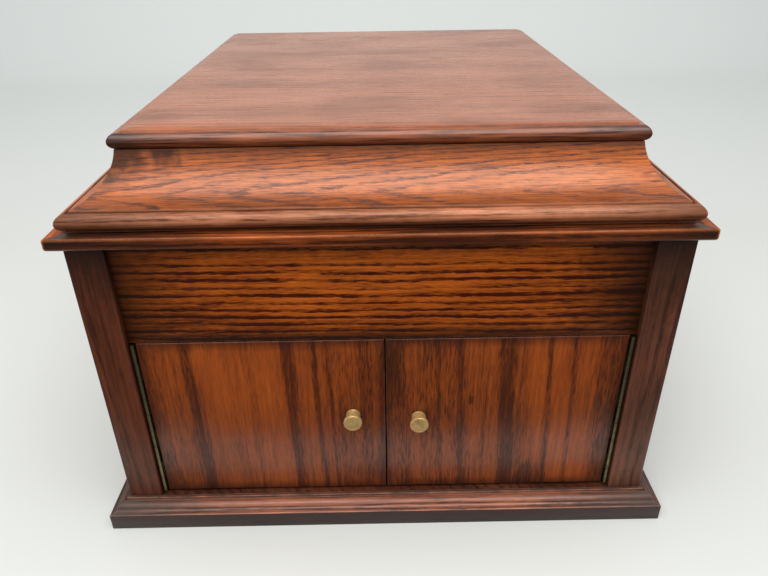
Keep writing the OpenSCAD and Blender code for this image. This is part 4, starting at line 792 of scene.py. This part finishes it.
        # Top board: a bullnose all round, and a small step up to the flat
        bm = bmesh.new()
        low, high = TOP_BOX
        nose, step, flat = (high.z - low.z) / 2 - 0.7 * MM, 7 * MM, 20 * MM
        nose_top = low.z + 2 * nose
        profile = [(-step - flat, low.z)]
        profile += arc((-nose, low.z + nose), (nose, nose), 270, 450, 2 * n)
        profile += [(-step + 0.8 * MM, nose_top), (-step, nose_top - 0.5 * MM)]
        profile += [(-step - 0.7 * MM, high.z - 0.3 * MM), (-step - 1.6 * MM, high.z), (-step - flat, high.z)]
        loops = []
        for out, z in profile:
            x, y = high.x + out, high.y + out
            corners = [bm.verts.new(p) for p in ((-x, -y, z), (x, -y, z), (x, y, z), (-x, y, z))]
            loops.append([bm.edges.new((corners[i], corners[(i + 1) % 4])) for i in range(4)])
        for lower, upper in zip(loops, loops[1:]):
            bmesh.ops.bridge_loops(bm, edges=lower + upper)
        for end in (loops[0], loops[-1]):
            bmesh.ops.contextual_create(bm, geom=end)
        bmesh.ops.recalc_face_normals(bm, faces=bm.faces)
        # The slanting edges at the nose's corners are rounded
        mitres = []
        for edge in bm.edges:
            corner, run = edge.verts[0].co, edge.verts[0].co - edge.verts[1].co
            at_corner = abs(abs(corner.x) - high.x - (abs(corner.y) - high.y)) < 10 * MERGE
            slanting = run.length > 10 * MERGE and abs(abs(run.x) - abs(run.y)) < MERGE
            if (at_corner and slanting and abs(run.x) + abs(run.z) < 3 * nose
                    and edge.calc_face_angle(0) > math.radians(20)):
                mitres.append(edge)
        round_edges(bm, mitres, 1.2 * MM, 3)
        # The end edges take the second finish, the front and back edges the third
        for face in bm.faces:
            middle = face.calc_center_median()
            if abs(face.normal.z) < 0.8 and abs(middle.x) - high.x > abs(middle.y) - high.y + 0.1 * MM:
                face.material_index = 1
            elif abs(middle.y) > high.y - step:
                face.material_index = 2
        finish_piece(bm, "lid_top", "lid", top, "lid_top_board", smooth=30)

        # Cast and rolled brass that nobody rubs: dull and clouded
        brass = metal("Tarnished brass, lid fittings", "#a08a4e", "#5d4f2b", 0.35, amount=0.7)
        dress(brass, "lid_hinge_leaves lid_stay_plate lid_stay_arm lid_stay_bracket")
        return {"FINISHED"}


class WellOperator(bpy.types.Operator):
    """Motor board, turntable, tonearm and the controls under the lid"""
    bl_idname = "gramophone.well"
    bl_label = "Turntable well"

    def execute(self, context):
        # Polished oak, bare softwood that stays pale and matt, and a grip stained black
        board = oak(
            "Stained oak, motor board", "#9a5227", "#4a2010", across=Y, middle=(0, 0.02, 0.18), ring=10,
            vee=8, lean=-0.1, contrast=0.6, seed=41.3, roughness=0.4)
        deal = oak(
            "Plain deal, unfinished", "#b98d5c", "#8a5c34", along=Y, across=X, middle=(0, 0, 0.1), ring=6,
            contrast=0.6, wobble=0.5, pores=0.1, seed=47.3, roughness=0.6, wear=0.1)
        grip = oak(
            "Ebonised hardwood grip", "#2c1a12", "#120a07", across=Y, middle=(0.26, -0.0275, 0.05), ring=3,
            contrast=0.5, seed=51.3, roughness=0.25)
        # Plate, steel and brass are smooth with faint clouds, the varnish is black, the mica glassy
        nickel = metal("Nickel plate on brass", "#c9c6bd", "#948d7a", 0.2, amount=0.35, grain=14, bump=0.03)
        steel = metal("Oiled steel", "#9a9a98", "#5f5b55", 0.3, amount=0.6, bump=0.06)
        brass = metal("Machined brass", "#c2a45a", "#8d7238", 0.25, bump=0.06)
        japan = metal("Japanned iron", "#1b1a19", "#2f2a25", 0.35, metallic=0.0)
        mica = metal("Mica sheet", "#d2c193", "#a8945e", 0.15, amount=0.4, metallic=0.0)
        # Wool and rubber mirror nothing: only their nap and grain show
        felt = soft_stuff("Green baize", "#2f5138", "#1d3324", 0.9)
        rubber = soft_stuff(
            "Red-brown rubber", "#5a2a20", "#3a1a14", 1.4, roughness=0.7, sheen=0.0, height=0.1)
        for material, nodes in (
                (board, "motor_board"), (deal, "inner_battens horn"), (grip, "crank_grip"),
                (nickel, "tonearm_bracket arm_rest needle_cups tonearm gooseneck soundbox needle_screw"),
                (nickel, "brake_lever crank_arm platter"),
                (steel, "motor_pillars spindle mainspring winding_arbor winding_shaft governor"),
                (steel, "needle_bar needle"),
                (brass, "speed_dial speed_knob winding_escutcheon regulator_lever motor_brackets"),
                (brass, "middle_gear spring_barrel case_screws"),
                (japan, "horn_elbow bedplate bottom_plate"), (mica, "diaphragm"),
                (felt, "platter_felt"), (rubber, "motor_cushions soundbox_gaskets")):
            dress(material, nodes)

        # Felt: a disc with a soft edge that sinks a little towards its rim, and a hole for the spindle
        low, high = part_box("platter_felt")
        radius, soft, hole = (high.x - low.x) / 2, 0.9 * MM, 5.5 * MM
        profile = [(hole, low.z), (radius, low.z)]
        profile += arc((radius - soft, high.z - soft), (soft, soft), 0, 90, 5)
        profile += [(radius * 0.6, high.z - 0.15 * MM), (hole + 1 * MM, high.z)]
        profile += [(hole, high.z - 0.4 * MM), (hole, low.z)]
        bm = bmesh.new()
        steps = 2 * context.scene.gramophone_case.turned_steps
        add_turned(bm, profile, (*((low + high) / 2).xy, 0), Z, steps)
        finish_piece(bm, "felt_disc", "turntable", [felt], "platter_felt")

        # Cushions: rings that bulge under the motor's weight
        bm = bmesh.new()
        bulge, hole = 1.2 * MM, 2.3 * MM
        for low, high in loose_parts("motor_cushions"):
            radius, half = (high.x - low.x) / 2, (high.z - low.z) / 2
            profile = [(hole, low.z)] + arc((radius - bulge, low.z + half), (bulge, half), -90, 90, 10)
            profile += [(hole, high.z), (hole, low.z)]
            add_turned(bm, profile, (*((low + high) / 2).xy, 0), Z, 32)
        finish_piece(bm, "rubber_cushions", "case", [rubber], "motor_cushions", smooth=50)

        # Every screw's slot points another way
        bm = bmesh.new()
        for i, (low, high) in enumerate(loose_parts("case_screws")):
            add_screw(bm, low, high, 0.7 * i)
        finish_piece(bm, "slotted_screws", "case", [brass], "case_screws", smooth=40)

        # Engraved marks round the speed dial, filled with black: every third one is longer
        low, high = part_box("speed_dial")
        middle, outer = (low + high) / 2, (high.x - low.x) / 2 - 1.2 * MM
        half, sunk, proud = 0.25 * MM, 0.2 * MM, 0.06 * MM
        bm = bmesh.new()
        for i in range(-6, 7):
            inner = outer - (2.2 * MM if i % 3 else 3.6 * MM)
            mark = bmesh.new()
            add_board(mark, (-half, inner, high.z - sunk), (half, outer, high.z + proud), 0.05 * MM)
            turn = Matrix.Rotation(math.radians(12 * i), 4, "Z")
            bmesh.ops.transform(mark, matrix=Matrix.Translation((*middle.xy, 0)) @ turn, verts=mark.verts)
            join(bm, mark)
        finish_piece(bm, "dial_marks", "case", [japan])
        return {"FINISHED"}


class StageOperator(bpy.types.Operator):
    """Floor, backdrop, camera and soft light"""
    bl_idname = "gramophone.stage"
    bl_label = "Stage"

    def execute(self, context):
        stage = context.scene.gramophone_stage
        # Matt paper: a pale floor that passes into a lighter backdrop behind the object
        material, shader, add = blank("Pale backdrop paper", Roughness=0.9)
        place = add("SeparateXYZ", {"Vector": add("TexCoord").outputs["Object"]})
        back = add("MapRange", {"Value": place.outputs["Y"], "From Min": 0.3, "From Max": 1.5})
        shade = add("Mix", {"Factor": back, "A": colour("#cdcfcc"), "B": colour("#e4e7e5")}, data_type="RGBA")
        # The polish of the doors and the light from below see the floor dark in front of the case, and the
        # camera doesn't
        far = add("Math", [place.outputs["Y"], DARK_MIDDLE, DARK_REACH[1]], "COMPARE")
        wide = add("Math", [place.outputs["X"], 0.0, DARK_REACH[0]], "COMPARE")
        dark = add("Math", [far, wide], "MULTIPLY")
        seen = add("LightPath").outputs["Is Camera Ray"]
        dark = add("Math", [dark, seen], "SUBTRACT", use_clamp=True)
        shade = add("Mix", {"Factor": dark, "A": shade, "B": colour("#0c0b0a")}, data_type="RGBA")
        feed(shader, {"Base Color": shade})

        half_width, front, bend_start, bend, wall_top = 4, -3.0, 1.4, 0.5, 3.0
        bm = bmesh.new()
        profile = [(front, 0.0)] + arc((bend_start, bend), (bend, bend), -90, 0, 9)
        profile += [(bend_start + bend, wall_top)]
        line = [bm.verts.new((-half_width, y, z)) for y, z in profile]
        edges = [bm.edges.new(pair) for pair in zip(line, line[1:])]
        grown = bmesh.ops.extrude_edge_only(bm, edges=edges)
        bmesh.ops.translate(bm, vec=X * 2 * half_width, verts=new_points(grown))
        for face in bm.faces:
            face.smooth = True
            if face.normal.z < 0 or face.normal.y > 0:
                face.normal_flip()
        floor = place_mesh("stage_floor", bm, [material])

        camera = bpy.data.cameras.new("Camera")
        camera.lens = stage.lens
        camera.clip_start = 0.01
        holder = bpy.data.objects.new("Camera", camera)
        holder.location = stage.camera_place
        holder.rotation_euler = stage.camera_turn
        context.scene.collection.objects.link(holder)
        context.scene.camera = holder

        world = bpy.data.worlds.new("Soft daylight")
        world.use_nodes = True
        feed(world.node_tree.nodes["Background"], {"Color": colour("#f4f7fa"), "Strength": stage.sky})
        context.scene.world = world

        # The front soft box isn't mirrored, because no bright pane shows in the polish
        for name, place, target, size, power, tint, mirrored in (
                ("Overhead soft box", (0.0, -0.55, 1.9), (0, -0.05, 0.2), (2.8, 1.6), stage.lamp,
                 (1.0, 0.99, 0.97), True),
                ("Front soft box", (-0.5, -2.0, 1.3), (0, -0.2, 0.1), (1.6, 1.2), stage.lamp * 0.4,
                 (1.0, 0.99, 0.98), False)):
            light = bpy.data.lights.new(name, "AREA")
            light.shape = "RECTANGLE"
            light.size, light.size_y = size
            light.energy, light.color = power, tint
            lamp = bpy.data.objects.new(name, light)
            lamp.location = place
            lamp.rotation_euler = (Vector(target) - Vector(place)).to_track_quat("-Z", "Y").to_euler()
            lamp.visible_glossy = mirrored
            context.scene.collection.objects.link(lamp)
        context.scene.view_settings.view_transform = "Standard"
        return {"FINISHED"}


class GramophonePanel(bpy.types.Panel):
    """Lists the sizes, the finish and the pieces"""
    bl_idname = "VIEW3D_PT_gramophone"
    bl_label = "Gramophone"
    bl_space_type = "VIEW_3D"
    bl_region_type = "UI"
    bl_category = "Gramophone"

    def draw(self, context):
        for name, group in SETTINGS.items():
            box = self.layout.box()
            for key in group.__annotations__:
                box.prop(getattr(context.scene, name), key)
        for operator in OPERATORS:
            self.layout.operator(operator.bl_idname)


SETTINGS = {
    "gramophone_case": GramophoneCase, "gramophone_finish": GramophoneFinish,
    "gramophone_stage": GramophoneStage}
OPERATORS = (CaseOperator, DoorsOperator, LidOperator, WellOperator, StageOperator)
CLASSES = (*SETTINGS.values(), *OPERATORS, GramophonePanel)


def register():
    for cls in CLASSES:
        bpy.utils.register_class(cls)
    for name, group in SETTINGS.items():
        setattr(bpy.types.Scene, name, PointerProperty(type=group))


def unregister():
    for name in SETTINGS:
        delattr(bpy.types.Scene, name)
    for cls in reversed(CLASSES):
        bpy.utils.unregister_class(cls)


def main():
    """Builds every piece in order."""
    register()
    bpy.ops.gramophone.case()
    bpy.ops.gramophone.doors()
    bpy.ops.gramophone.lid()
    bpy.ops.gramophone.well()
    bpy.ops.gramophone.stage()


if __name__ == "__main__":
    main()
